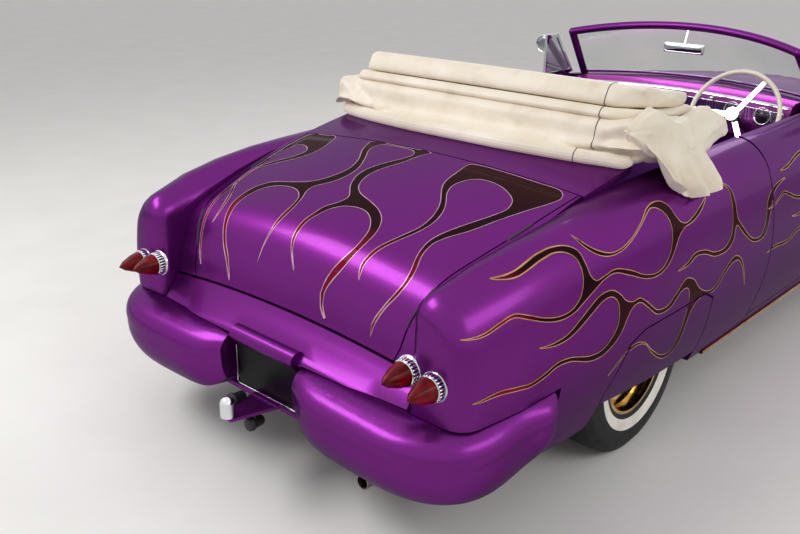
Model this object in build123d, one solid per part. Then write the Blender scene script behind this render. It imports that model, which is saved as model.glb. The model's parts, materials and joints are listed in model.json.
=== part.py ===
from build123d import *
import math
import os

# A two-door open touring car of about 1950, lowered and smoothed by a custom shop, with its roof folded down.
# Millimetres. +X is forward, +Y is the car's left, +Z is up. The ground is z = 0 and the origin is the centre of the
# car's footprint. Most shapes are made for the left side and mirrored.

# Driving dimensions: running gear
REAR_AXLE_X = -1325
FRONT_OVERHANG = 765
WHEEL_INSET = 184
KINGPIN_INSET = 100
TYRE_RADIUS = 355
TYRE_WIDTH = 184
RIM_RADIUS = 196
RIM_WIDTH = 150
DRUM_RADIUS = 140
SPINDLE_RADIUS = 20
RUNNING_GAP = 0.3
FRONT_ARCH_RADIUS = 425
AXLE_TUBE_RADIUS = 38

# Driving dimensions: panels
SHUT_GAP = 6
SEAT_GAP = 0.3
SKIN = 30
SKIRT_THICKNESS = 12
LID_THICKNESS = 26
COWL_THICKNESS = 24
SILL_WIDTH = 217
FLOOR_Z = 262
FLOOR_THICKNESS = 24
SILL_TOP_Z = 300
DOOR_LOW_Z = SILL_TOP_Z + SHUT_GAP
SHELF_Z = 515
LID_LOW_Z = 652

# Places of the panel joins along the car
DOOR_REAR_X = -440
DOOR_FRONT_X = 560
COWL_FRONT_X = 835
HOOD_FRONT_X = 2290
LID_FRONT_X = -1590
DECK_FRONT_X = -1290
TAIL_X = -2400
NOSE_X = 2440
FRONT_AXLE_X = NOSE_X - FRONT_OVERHANG
POD_FRONT_X = -2000
END_ROUND = 66
TAIL_WALL_X = -2200
HINGE_X = DOOR_FRONT_X + SHUT_GAP / 2
HINGE_Y = 957
STRIKER_Y = (932, 948)
STRIKER_Z = (600, 640)
STRIKER_GAP = 0.5

# The body's side, one row for each station. low: bottom edge; mid: widest point; up: start of the shoulder;
# top: crest of the shoulder; gap: where the shoulder meets the lid, deck, cabin or hood.
COLUMNS = ("low_y", "low_z", "mid_y", "mid_z", "up_y", "up_z", "top_y", "top_z", "gap_y", "gap_z")
SIDE = {
    -2400: (790, 262, 862, 520, 842, 770, 742, 885, 642, 795),
    -2150: (820, 255, 912, 520, 888, 845, 765, 957, 655, 905),
    -1900: (852, 252, 932, 520, 905, 880, 788, 996, 690, 968),
    -1650: (860, 249, 943, 520, 913, 900, 802, 1012, 706, 1018),
    -1400: (865, 247, 950, 520, 915, 912, 808, 1022, 716, 1042),
    -900: (870, 245, 950, 520, 905, 935, 812, 1045, 728, 1064),
    -440: (870, 245, 950, 520, 900, 950, 812, 1055, 735, 1076),
    560: (867, 245, 948, 520, 895, 950, 808, 1060, 735, 1080),
    900: (867, 245, 950, 522, 900, 925, 815, 1035, 729, 1056),
    1300: (850, 250, 952, 530, 905, 892, 815, 1000, 700, 1024),
    1675: (845, 254, 950, 538, 902, 862, 808, 968, 660, 984),
    2000: (830, 260, 930, 544, 884, 828, 785, 930, 620, 940),
    2300: (800, 266, 885, 545, 842, 785, 740, 880, 590, 882),
    2440: (775, 268, 855, 545, 815, 755, 715, 845, 575, 840),
}

# Places across the car that follow the body's widest point
BODY_HALF = max(row[COLUMNS.index("mid_y")] for row in SIDE.values())
CABIN_HALF = BODY_HALF - SILL_WIDTH
HALF_TRACK = BODY_HALF - WHEEL_INSET
KINGPIN_Y = HALF_TRACK - KINGPIN_INSET

# The rear deck's line on the car's centre: two points of its long arc, then the ends of two tangent arcs
LID_START = (-1590, 1076)
LID_MIDDLE = (-1880, 1003)
LID_TURN = (-2150, 918)
LID_FALL = (-2275, 800)
LID_END = (-2325, 640)
DECK_CROWN = 6400

# The hood's centre line: x and z
HOOD_LINE = {560: 1118, 841: 1110, 1200: 1090, 1675: 1046, 2000: 1004, 2290: 944, 2440: 896}
NOSE_CROWN = 3600


def smooth(table, x):
    """The table's row at any x, by a smooth curve through its rows."""
    xs = sorted(table)
    i = max(0, min(len(xs) - 2, sum(1 for v in xs if v <= x) - 1))
    span = xs[i + 1] - xs[i]
    t = (x - xs[i]) / span
    values = []
    for c in range(len(table[xs[0]])):
        def slope(k):
            a, b = max(0, k - 1), min(len(xs) - 1, k + 1)
            return (table[xs[b]][c] - table[xs[a]][c]) / (xs[b] - xs[a])
        p0, p1 = table[xs[i]][c], table[xs[i + 1]][c]
        m0, m1 = slope(i) * span, slope(i + 1) * span
        h = t * t * (3 - 2 * t)
        values.append(p0 * (1 - h) + p1 * h + m0 * (t ** 3 - 2 * t * t + t) + m1 * (t ** 3 - t * t))
    return values


def circle_through(a, b, c):
    """Centre and radius of the circle through three points."""
    (ax, ay), (bx, by), (cx, cy) = a, b, c
    d = 2 * (ax * (by - cy) + bx * (cy - ay) + cx * (ay - by))
    sa, sb, sc = ax * ax + ay * ay, bx * bx + by * by, cx * cx + cy * cy
    ux = (sa * (by - cy) + sb * (cy - ay) + sc * (ay - by)) / d
    uy = (sa * (cx - bx) + sb * (ax - cx) + sc * (bx - ax)) / d
    return (ux, uy), math.hypot(ax - ux, ay - uy)


def tangent_circle(centre, start, end):
    """The circle that leaves start square to the line from start to centre, and passes through end.

    The radius is negative where the circle lies on the far side of start from centre.
    """
    reach = math.hypot(centre[0] - start[0], centre[1] - start[1])
    n = ((centre[0] - start[0]) / reach, (centre[1] - start[1]) / reach)
    d = (end[0] - start[0], end[1] - start[1])
    r = (d[0] ** 2 + d[1] ** 2) / (2 * (d[0] * n[0] + d[1] * n[1]))
    return (start[0] + r * n[0], start[1] + r * n[1]), r


def arc_about(circle, a, b, inset=0.0):
    """The arc from a to b on a circle, moved inset towards the inside of the body."""
    (cx, cy), r = circle
    k = (r - inset) / r
    pa = (cx + (a[0] - cx) * k, cy + (a[1] - cy) * k)
    pb = (cx + (b[0] - cx) * k, cy + (b[1] - cy) * k)
    m = ((pa[0] + pb[0]) / 2 - cx, (pa[1] + pb[1]) / 2 - cy)
    k = abs(r - inset) / math.hypot(*m)
    return ThreePointArc(pa, (cx + m[0] * k, cy + m[1] * k), pb)


class Side:
    """The body's side at one station: a flank arc and two tangent shoulder arcs."""

    def __init__(self, x):
        row = dict(zip(COLUMNS, smooth(SIDE, x)))
        self.low, self.mid, self.up, self.top, self.gap = (
            (row[f"{k}_y"], row[f"{k}_z"]) for k in ("low", "mid", "up", "top", "gap")
        )
        self.flank = circle_through(self.low, self.mid, self.up)
        self.outer = tangent_circle(self.flank[0], self.up, self.top)
        self.inner = tangent_circle(self.outer[0], self.top, self.gap)

    def flank_y(self, z, inset=0.0):
        (cy, cz), r = self.flank
        return cy + math.sqrt((r - inset) ** 2 - (z - cz) ** 2)

    def curve(self, z_from, inset=0.0):
        """Flank, outer shoulder and inner shoulder, from z_from up to the gap."""
        return [
            arc_about(self.flank, (self.flank_y(z_from), z_from), self.up, inset),
            arc_about(self.outer, self.up, self.top, inset),
            arc_about(self.inner, self.top, self.gap, inset),
        ]


def across(x):
    """The plane across the car at x, with Y to the right and Z up."""
    return Plane(origin=(x, 0, 0), x_dir=(0, 1, 0), z_dir=(1, 0, 0))


def chain(*points):
    """Straight edges through points in order."""
    return [Line(a, b) for a, b in zip(points[:-1], points[1:])]


def outline(plane, *edges):
    return plane * make_face(Curve() + list(edges))


def skin(section, stations):
    """A body of short ruled stretches through its sections, which a coarse mesh follows closely."""
    return loft([section(x) for x in stations], ruled=True)


def even(x0, x1, spans):
    return [x0 + (x1 - x0) * i / spans for i in range(spans + 1)]


def box(x0, x1, y0, y1, z0, z1):
    return Pos((x0 + x1) / 2, (y0 + y1) / 2, (z0 + z1) / 2) * Box(abs(x1 - x0), abs(y1 - y0), abs(z1 - z0))


def rod_y(x, z, radius, y0, y1):
    return Pos(x, (y0 + y1) / 2, z) * Rot(90, 0, 0) * Cylinder(radius, abs(y1 - y0))


def rod_x(y, z, radius, x0, x1):
    return Pos((x0 + x1) / 2, y, z) * Rot(0, 90, 0) * Cylinder(radius, abs(x1 - x0))


def rod_z(x, y, radius, z0, z1):
    return Pos(x, y, (z0 + z1) / 2) * Cylinder(radius, abs(z1 - z0))


def slab_y(points, y0, y1):
    """A prism from a side-view outline of (x, z) points, from y0 to y1."""
    face = Plane(origin=(0, y1, 0), x_dir=(1, 0, 0), z_dir=(0, -1, 0)) * make_face(Polyline(*points, close=True))
    return extrude(face, y1 - y0)


def slab_z(points, z0, z1):
    """A prism from a plan outline of (x, y) points, from z0 to z1."""
    return extrude(Pos(0, 0, z0) * make_face(Polyline(*points, close=True)), z1 - z0)


def other(shape):
    return mirror(shape, about=Plane.XZ)


def pair(shape):
    return [shape, other(shape)]


def turned(points, x, z, y, side=1):
    """A solid of revolution about the line across the car through (x, z). Points are (offset outboard, radius)."""
    face = make_face(Polyline(*[(r, w * side) for w, r in points], close=True))
    solid = revolve(face, Axis.Y, 360)
    return Pos(x, y, z) * solid


def write(name, *solids):
    parts = [s for group in solids for s in (group if isinstance(group, list) else [group])]
    shape = parts[0] if len(parts) == 1 else Compound(children=[Compound(p.wrapped) for p in parts])
    export_step(shape, f"parts/{name}.step")


# Body side panels

def end_inset(x):
    """How far the body's outer skin is drawn in near its ends, for the round of the rear and front corners."""
    d = min(x - TAIL_X, NOSE_X - x)
    return 0.0 if d >= END_ROUND else END_ROUND - math.sqrt(END_ROUND ** 2 - (END_ROUND - d) ** 2)


def wing_solid(x):
    """The full section of a wing: outer curve, then down the inner wall and across the bottom."""
    s = Side(x)
    edges = s.curve(s.low[1], end_inset(x))
    start, end = edges[0] @ 0, edges[-1] @ 1
    return outline(across(x), *edges, *chain((end.X, end.Y), (s.gap[0], s.low[1]), (start.X, start.Y)))


def wing_hollow(x, skin_thickness=SKIN):
    """The space inside a wing. It is open towards the car's inside, except at the tail, where it has a wall."""
    s = Side(x)
    edges = s.curve(s.low[1] - 20, skin_thickness + end_inset(x))
    start, end = edges[0] @ 0, edges[-1] @ 1
    open_share = min(1.0, max(0.0, (x - TAIL_WALL_X) / 200))
    inner = (end.X - 110 * open_share, start.Y)
    return outline(across(x), *edges, *chain((end.X, end.Y), inner, (start.X, start.Y)))


def deck_curve(inset, x_from):
    """The rear deck's centre line as three edges, from the front of the deck to the lid's lower edge."""
    long_arc = circle_through(LID_START, LID_MIDDLE, LID_TURN)
    turn = tangent_circle(long_arc[0], LID_TURN, LID_FALL)
    fall = tangent_circle(turn[0], LID_FALL, LID_END)
    stretches = ((long_arc, x_from, LID_TURN), (turn, LID_TURN, LID_FALL), (fall, LID_FALL, LID_END))
    return [arc_about(circle, a, b, inset) for circle, a, b in stretches]


def crowned(edges, crown, z_ref, half_width):
    """A panel whose side-view outline is carried round a long arc across the car."""
    face = Plane.XZ * make_face(Curve() + edges)
    half_turn = math.degrees(math.asin(half_width / crown))
    axis = Axis((0, 0, z_ref - crown), (1, 0, 0))
    return revolve(face.rotate(axis, -half_turn), axis, 2 * half_turn)


def deck_start():
    """The point of the deck's long arc at its front edge."""
    (cx, cz), r = circle_through(LID_START, LID_MIDDLE, LID_TURN)
    x = DECK_FRONT_X
    return (x, cz + math.sqrt(r * r - (x - cx) ** 2))


def deck_blank(thickness):
    """The whole rear deck and lid as one crowned sheet, from which the lid, deck and valley strips are cut."""
    start = deck_start()
    outer, inner = deck_curve(0.0, start), deck_curve(thickness, start)
    a, b = outer[-1] @ 1, inner[-1] @ 1
    c, d = outer[0] @ 0, inner[0] @ 0
    return crowned(outer + inner + [Line(a, b), Line(c, d)], DECK_CROWN, LID_START[1], 712)


# The lid's outline: half-widths at places along the car seen from above, and at heights seen from behind.
# The lower part narrows by height, so that the lid clears the strips beside it as it swings up.
LID_PLAN = [(-1590, 689), (-1890, 660), (-2180, 606), (-2262, 580), (-2400, 580)]
LID_REAR = [(700, 1300), (700, 852), (592, 850), (553, 750), (538, 660), (500, 560)]


def lid_prism(grow):
    """The space over the lid's outline, grown outwards."""
    side = [(LID_FRONT_X + grow, LID_PLAN[0][1] + grow)] + [(x, y + grow) for x, y in LID_PLAN[1:]]
    plan = slab_z(side + [(x, -y) for x, y in reversed(side)], 560, 1300)
    half = [(y + grow, z) for y, z in LID_REAR]
    face = across(-2500) * make_face(Polyline(*half, *[(-y, z) for y, z in reversed(half)], close=True))
    return plan & extrude(face, 1200)


def boot_lid():
    return (deck_blank(LID_THICKNESS) & lid_prism(0)).solid()


ROUND_STEPS = [END_ROUND * (1 - math.sin(math.radians(a))) for a in (90, 67.5, 45, 22.5)]
REAR_HOLLOW_STATIONS = [TAIL_X + SKIN] + even(TAIL_X + END_ROUND, DOOR_REAR_X - SHUT_GAP + 40, 9)
REAR_STATIONS = [TAIL_X + d for d in ROUND_STEPS] + even(TAIL_X + END_ROUND, DOOR_REAR_X - SHUT_GAP, 11)
FRONT_STATIONS = even(DOOR_FRONT_X + SHUT_GAP, NOSE_X - END_ROUND, 11) + [NOSE_X - d for d in reversed(ROUND_STEPS)]


def quarters():
    shell = skin(wing_solid, REAR_STATIONS)
    shell -= skin(wing_hollow, REAR_HOLLOW_STATIONS)
    # The strip between the lid's gap and the wing
    strip = deck_blank(LID_THICKNESS) - lid_prism(SHUT_GAP)
    strip = strip & box(TAIL_X, LID_FRONT_X, 400, 700, 600, 1200)
    shell += strip
    # The wheel opening, the sill's notch at the door, and the room for the bumper
    shell -= skirt_prism(SHUT_GAP / 2)
    shell -= pod_room(1)
    for x, y, z in LAMPS:
        shell -= rod_x(y, z, LAMP_RADIUS + SEAT_GAP, TAIL_X - 100, x)
    # The striker that the door's latch closes on, kept clear of the arc of the door's rear edge
    rear_x = DOOR_REAR_X - SHUT_GAP
    striker = box(rear_x - 1, DOOR_REAR_X + 4, *STRIKER_Y, *STRIKER_Z)
    shell += striker - rod_z(HINGE_X, HINGE_Y, HINGE_X - DOOR_REAR_X + STRIKER_GAP, 200, 1400)
    return shell


def pod_room(grow):
    """The room that the rear quarter leaves for the bumper pod: it follows the pod's top edge."""
    top = [(x, z + grow) for x, _, _, _, z, _ in POD if x > TAIL_X]
    front = POD_FRONT_X + 8 + grow
    points = [(TAIL_X - 50, SHELF_Z + grow)] + top + [(front, top[-1][1]), (front, 200), (TAIL_X - 50, 200)]
    return slab_y(points, 600, 1000)


def skirt_prism(grow):
    x0, x1 = REAR_AXLE_X - 385 - grow, REAR_AXLE_X + 390 + grow
    top, low = 600 + grow, 200
    points = [(x0, low), (x0 + 20, 400), (x0 + 110, top - 30), (x0 + 200, top), (x1 - 120, top), (x1 - 40, top - 40),
              (x1, low)]
    return slab_y(points, 780, 1000)


def skirts():
    near = [x for x in REAR_STATIONS if -2000 < x < -700]
    blank = skin(wing_solid, near) - skin(lambda x: wing_hollow(x, SKIRT_THICKNESS), near)
    skirt = blank & skirt_prism(-SHUT_GAP / 2)
    low_edge = slab_y([(-1800, 200), (-1800, 372), (-1560, 340), (-1325, 315), (-1100, 303), (-900, 298), (-900, 200)],
                      700, 1000)
    # The hook that holds the skirt behind the panel's edge
    hook = box(-1400, -1250, 880, 960, 560, 590) & skin(lambda x: wing_hollow(x, SKIRT_THICKNESS / 2), near)
    hook += box(-1400, -1250, 895, 960, 560, 625) & skin(lambda x: wing_hollow(x, SKIN + SEAT_GAP), REAR_HOLLOW_STATIONS)
    return (skirt - low_edge + hook).solid()



def deck_panel():
    """The fixed panel between the lid and the cabin, with the well edge that the folded roof lies on."""
    front = box(LID_FRONT_X + SHUT_GAP, DECK_FRONT_X, -CABIN_HALF, CABIN_HALF, 900, 1200)
    side = [Side(x).gap[0] - 1 for x in (LID_FRONT_X + SHUT_GAP, DECK_FRONT_X)]
    plan = [(LID_FRONT_X + SHUT_GAP, side[0]), (DECK_FRONT_X, side[1]), (DECK_FRONT_X, -side[1]),
            (LID_FRONT_X + SHUT_GAP, -side[0])]
    panel = (deck_blank(LID_THICKNESS) & front & slab_z(plan, 900, 1200)).solid()
    # Two rests under the lid's front edge
    rest = box(-1625, -1592, 280, 320, 1000, 1100) - Pos(0, 0, -SEAT_GAP) * boot_lid()
    rest = rest.solids().sort_by(Axis.Z)[0] + box(-1600, -1570, 280, 320, 1000, 1022)
    rest += box(-1583, -1570, 280, 320, 1000, 1055)
    return panel + rest + other(rest)


# The rear face between the wings: x and z down the middle, then back up inside
VALANCE_HALF = 641
BOOT_FLOOR_END_X = -2340
VALANCE_LOW_Z = 325
VALANCE = [(-2331, 632), (-2352, 600), (-2368, 585), (-2398, 540), (-2416, 530), (-2424, SHELF_Z), (-2400, 480),
           (-2385, VALANCE_LOW_Z), (-2360, VALANCE_LOW_Z), (-2372, 480), (-2372, 520), (BOOT_FLOOR_END_X, 524),
           (BOOT_FLOOR_END_X, 590), (-2306, 632)]
POD_INNER_Y = 195
PLATE_WIDTH = 335
PLATE_X = -2404
HOUSING_RADIUS = 32


def rear_valance():
    panel = crowned(chain(*VALANCE, VALANCE[0]), DECK_CROWN, LID_START[1], 720)
    panel &= box(-2500, -2200, -VALANCE_HALF, VALANCE_HALF, 200, 700)
    behind_pod = box(-2500, -2350, POD_INNER_Y - 5, VALANCE_HALF + 5, 200, SHELF_Z + 1)
    panel -= [behind_pod, other(behind_pod)]
    housing = rod_y(-2412, 522, HOUSING_RADIUS, -PLATE_WIDTH / 2, PLATE_WIDTH / 2)
    return panel + housing


def number_plate():
    return Pos(PLATE_X - 7, 0, 406) * Rot(0, -5, 0) * Box(4, PLATE_WIDTH, 168)


# Bumper pods: sections around the body's rear corner. Each row: the section's reference point, the direction it faces
# in degrees from straight back towards the car's left, its depth there, and its top and bottom.
POD = [
    # x, y, heading, depth, z_top, z_low
    (-2425, 195, 0, 40, 505, 330),
    (-2425, 300, 0, 88, 513, 268),
    (-2425, 430, 0, 100, 514, 258),
    (-2425, 560, 0, 102, 514, 256),
    (-2415, 690, 12, 100, 514, 256),
    (-2370, 800, 40, 88, 516, 262),
    (-2270, 866, 68, 66, 522, 280),
    (-2140, 892, 82, 48, 532, 318),
    (-2010, 905, 86, 34, 544, 372),
]


def pod_section(x, y, heading, depth, z_top, z_low):
    """A section that bulges outwards: a sloped top shelf, a full nose and a rounded bottom."""
    back = (math.cos(math.radians(heading)), math.sin(math.radians(heading)))
    plane = Plane(origin=(x, y, 0), x_dir=(-back[0], back[1], 0), z_dir=(back[1], back[0], 0))
    height = z_top - z_low
    inner = -40
    shelf = (depth * 0.55, z_top - height * 0.07)
    nose = (depth, z_top - height * 0.42)
    low = (depth * 0.55, z_low + height * 0.05)
    return outline(
        plane,
        Line((inner, z_top), (0, z_top)),
        ThreePointArc((0, z_top), (depth * 0.3, z_top - height * 0.025), shelf),
        ThreePointArc(shelf, (depth * 0.93, z_top - height * 0.2), nose),
        ThreePointArc(nose, (depth * 0.9, z_top - height * 0.72), low),
        Line(low, (inner, z_low)),
        Line((inner, z_low), (inner, z_top)),
    )


def pod():
    return loft([pod_section(*row) for row in POD])


def front_fender():
    shell = skin(wing_solid, FRONT_STATIONS)
    shell -= skin(front_hollow, even(DOOR_FRONT_X - 40, NOSE_X - END_ROUND, 9) + [NOSE_X - SKIN])
    shell -= rod_y(FRONT_AXLE_X, TYRE_RADIUS, FRONT_ARCH_RADIUS, 500, 1100)
    shell -= box(2060, NOSE_X + 80, 500, 1000, 150, FRONT_BUMPER_TOP + SEAT_GAP)
    return shell


def front_hollow(x):
    s = Side(x)
    edges = s.curve(s.low[1] - 20, SKIN + end_inset(x))
    start, end = edges[0] @ 0, edges[-1] @ 1
    return outline(across(x), *edges, *chain((end.X, end.Y), (end.X - 110, start.Y), (start.X, start.Y)))


def hood_height(x):
    table = {k: (v,) for k, v in HOOD_LINE.items()}
    return smooth(table, x)[0]


def hood_section(x, inset_y, thickness):
    s = Side(x)
    y, z_edge, z_mid = s.gap[0] - inset_y, s.gap[1], hood_height(x)
    return outline(
        across(x),
        ThreePointArc((-y, z_edge), (0, z_mid), (y, z_edge)),
        Line((y, z_edge), (y, z_edge - thickness)),
        ThreePointArc((y, z_edge - thickness), (0, z_mid - thickness), (-y, z_edge - thickness)),
        Line((-y, z_edge - thickness), (-y, z_edge)),
    )


def hood_blank(inset_y, thickness, x0, x1):
    """A stretch of the sheet between the front fenders, lofted over the fenders' own stations."""
    sheet = skin(lambda x: hood_section(x, inset_y, thickness), FRONT_STATIONS)
    return (sheet & box(x0, x1, -CABIN_HALF, CABIN_HALF, 700, 1300)).solid()


def hood():
    return hood_blank(SHUT_GAP, LID_THICKNESS, COWL_FRONT_X + SHUT_GAP, HOOD_FRONT_X)


FIREWALL_X = 800


def cowl_top():
    return hood_blank(SEAT_GAP, COWL_THICKNESS, DOOR_FRONT_X + SHUT_GAP, COWL_FRONT_X)


def cowl():
    """The panel under the windscreen, with the firewall and the posts that the doors hang on."""
    top = cowl_top()
    wall = box(FIREWALL_X - 24, FIREWALL_X, -640, 640, FLOOR_Z + FLOOR_THICKNESS, 1060)
    wall -= box(FIREWALL_X - 60, FIREWALL_X + 40, -190, 190, 200, 600)
    posts = box(DOOR_FRONT_X + SHUT_GAP, FIREWALL_X, 640, 700, FLOOR_Z + FLOOR_THICKNESS, 1050)
    shell = top + wall + posts + other(posts)
    room = tube(Line(PILLAR_FOOT, HEADER_CORNER), FRAME_RADIUS + SEAT_GAP)
    return shell - room - other(room)


def nose_panel():
    profile = [(2296, 0), (2380, -22), (2425, -80), (2440, -150), (2418, -150), (2404, -90), (2366, -46), (2296, -26)]
    z_ref = 944
    face = Plane.XZ * make_face(Polyline(*[(x, z_ref + dz) for x, dz in profile], close=True))
    half_turn = math.degrees(math.asin(572 / NOSE_CROWN))
    axis = Axis((0, 0, z_ref - NOSE_CROWN), (1, 0, 0))
    top = revolve(face.rotate(axis, -half_turn), axis, 2 * half_turn)
    cheek = box(2340, 2372, 500, Side(2372).gap[0] - 0.5, 525, 785) + box(2371, 2440, 505, 570, 525, 785)
    chin = box(2392, 2432, -570, 570, 500, 545)
    rest = box(2250, 2288, 180, 220, 880, 1000) - Pos(0, 0, -SEAT_GAP) * hood()
    rest = rest.solids().sort_by(Axis.Z)[0] + box(2280, 2310, 180, 220, 880, 905)
    rest += box(2297, 2310, 180, 220, 880, 925)
    return top + cheek + other(cheek) + chin + rest + other(rest)


def grille():
    bars = [rod_y(2425, z, 9, -504.7, 504.7) for z in (580, 633, 686, 739)]
    teeth = [rod_z(2425, y, 8, 545.3, 765) for y in (-400, -240, -80, 80, 240, 400)]
    result = bars[0]
    for piece in bars[1:] + teeth:
        result += piece
    return result


FRONT_POD = [
    # x, y, heading, depth, z_top, z_low
    (2505, 0, 0, 110, 520, 300),
    (2505, 140, 0, 110, 520, 300),
    (2505, 280, 0, 110, 520, 300),
    (2505, 420, 0, 110, 520, 300),
    (2486, 560, 10, 106, 520, 300),
    (2454, 692, 24, 98, 520, 300),
    (2388, 804, 46, 84, 520, 302),
    (2278, 876, 70, 60, 518, 312),
    (2150, 906, 82, 40, 514, 330),
]
FRONT_BUMPER_TOP = 520


def front_bumper():
    half = mirror(loft([pod_section(-x, y, h, d, zt, zl) for x, y, h, d, zt, zl in FRONT_POD]), about=Plane.YZ)
    return half + other(half)


# Doors

def door():
    def section(x):
        s = Side(x)
        return outline(across(x), *s.curve(DOOR_LOW_Z), *chain(s.gap, (s.gap[0], DOOR_LOW_Z),
                                                              (s.flank_y(DOOR_LOW_Z), DOOR_LOW_Z)))
    panel = skin(section, even(DOOR_REAR_X, DOOR_FRONT_X, 5))
    # The rear edge is an arc about the hinge, so that its inner corner clears the rear quarter as the door opens
    return panel & rod_z(HINGE_X, HINGE_Y, HINGE_X - DOOR_REAR_X, 200, 1400)


def sill():
    def section(x):
        s = Side(x)
        low, high = s.low[1], SILL_TOP_Z
        y_low, y_high = s.flank_y(low), s.flank_y(high)
        return outline(across(x), arc_about(s.flank, (y_low, low), (y_high, high)),
                       *chain((y_high, high), (CABIN_HALF, high), (CABIN_HALF, low), (y_low, low)))
    return skin(section, even(DOOR_REAR_X, DOOR_FRONT_X, 5))


STRIP_ENDS = (-810, 1220)
STRIP_Z = (231, 244.6)


def sill_strip():
    def section(x):
        s = Side(x)
        y = s.low[0]
        z0, z1 = STRIP_Z
        return outline(across(x), *chain((y - 24, z1), (y + 7, z1), (y + 7, z0), (y - 24, z0), (y - 24, z1)))
    return skin(section, even(*STRIP_ENDS, 5))


# Windscreen: the pillar's foot, the header's corner and the header's middle, and the same for the base rail
PILLAR_FOOT = (655, 690, 1066)
HEADER_CORNER = (395, 640, 1345)
HEADER_MIDDLE = (537, 0, 1412)
BASE_END = (627, 684.6, 1096)
BASE_MIDDLE = (750, 0, 1122)
FRAME_RADIUS = 21
BASE_RADIUS = 8
GLASS_THICKNESS = 5
GLASS_GAP = 0.8


def tube(path, radius):
    return sweep(Plane(origin=path @ 0, z_dir=path % 0) * Circle(radius), path=path)


def bow(end, middle):
    """An arc across the car from a point on the left through one on the centre line."""
    return ThreePointArc(end, middle, (end[0], -end[1], end[2]))


def screen_tubes(grow):
    """Header, base rail and pillars of the windscreen, grown by a clearance."""
    pillar = tube(Line(PILLAR_FOOT, HEADER_CORNER), FRAME_RADIUS + grow)
    knuckle_joint = Pos(*HEADER_CORNER) * Sphere(FRAME_RADIUS + grow)
    return [tube(bow(HEADER_CORNER, HEADER_MIDDLE), FRAME_RADIUS + grow), tube(bow(BASE_END, BASE_MIDDLE), BASE_RADIUS + grow),
            pillar, other(pillar), knuckle_joint, other(knuckle_joint)]


def windscreen_frame():
    pieces = screen_tubes(0)
    frame = pieces[0]
    for piece in pieces[1:]:
        frame += piece
    frame -= Pos(0, 0, SEAT_GAP) * cowl_top()
    return frame.solids().sort_by(SortBy.VOLUME)[-1]


def windscreen_glass():
    surface = Face.make_surface_from_curves(bow(BASE_END, BASE_MIDDLE), bow(HEADER_CORNER, HEADER_MIDDLE))
    glass = thicken(surface, GLASS_THICKNESS / 2, both=True)
    for piece in screen_tubes(GLASS_GAP):
        glass -= piece
    return glass.solids().sort_by(SortBy.VOLUME)[-1]


def interior_mirror():
    x, z = HEADER_MIDDLE[0], HEADER_MIDDLE[2]
    reach = FRAME_RADIUS + SEAT_GAP
    stem = tube(Line((x - 0.41 * reach, 0, z - 0.912 * reach), (505, 0, 1320)), 6)
    glass = Pos(500, 0, 1300) * Box(22, 230, 52)
    return stem + fillet(glass.edges(), 8)


DASH_CROWN = 7108
DASH_HALF = 634


def dashboard():
    """The dash, crowned across the car as the panel in front of it is."""
    front = DOOR_FRONT_X + SHUT_GAP - SEAT_GAP
    profile = [(front, 1116), (490, 1112), (458, 1098), (448, 1065), (470, 905), (500, 885), (front, 885)]
    dash = crowned(chain(*profile, profile[0]), DASH_CROWN, 1116, DASH_HALF)
    return dash - column(COLUMN_RADIUS + SEAT_GAP, 150, 280)


WHEEL_CENTRE = (273, -415, 1028)
WHEEL_TILT = 25
WHEEL_RIM_RADIUS = 225


def steering_wheel():
    rim = Torus(WHEEL_RIM_RADIUS, 12)
    hub = Cylinder(34, 50)
    spokes = [Rot(0, 0, a) * Pos(WHEEL_RIM_RADIUS / 2, 0, 0) * Box(WHEEL_RIM_RADIUS, 26, 9) for a in (0, 120, 240)]
    wheel = rim + hub
    for s in spokes:
        wheel += s
    return Pos(*WHEEL_CENTRE) * Rot(0, WHEEL_TILT - 90, 0) * Rot(0, 0, 90) * wheel


COLUMN_RADIUS = 24


def column(radius, start, end):
    """A rod along the steering axis, between two distances from the steering wheel's middle."""
    tilt = math.radians(WHEEL_TILT)
    along = Vector(math.cos(tilt), 0, -math.sin(tilt))
    a, b = (Vector(*WHEEL_CENTRE) + along * d for d in (start, end))
    return sweep(Plane(origin=a, z_dir=along) * Circle(radius), path=Line(a, b))


def steering_column():
    return column(COLUMN_RADIUS, 25 + SEAT_GAP, 230)


def front_seat():
    cushion = [(-300, 300), (-300, 560), (230, 590), (262, 540), (262, 400), (200, 300)]
    back = [(-300, 560), (-345, 950), (-400, 975), (-450, 945), (-415, 560), (-380, 330), (-300, 330)]
    seat = slab_y(cushion, -640, 640) + slab_y(back, -640, 640)
    return seat - box(-500, 300, -130 - SEAT_GAP, 130 + SEAT_GAP, 200, 430 + SEAT_GAP)


def rear_seat():
    cushion = [(-1080, 556), (-1080, 600), (-640, 610), (-590, 580), (-590, 445), (-590, 431), (-616, 431), (-616, 424.4), (-898, 424.4), (-1040, 556)]
    back = [(-1080, 556), (-1130, 950), (-1185, 970), (-1230, 950), (-1190, 556)]
    half = HOUSING_Y[0] - 15
    return slab_y(cushion, -half, half) + slab_y(back, -half, half)


def folded_top():
    """The folded roof: a stack of cloth folds across the car, with a flap down over each side."""
    profile = [(-1338, 1132.9), (-1345, 1200), (-1300, 1300), (-1245, 1345), (-1180, 1330), (-1080, 1300), (-960, 1285),
               (-860, 1240), (-800, 1180), (-790, 1105), (-900, 1090), (-1280, 1090), (-1280, 1132.9)]
    return slab_y(profile, -790, 790)


# Floor and frame

RAIL_Y = (362, 424)


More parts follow.
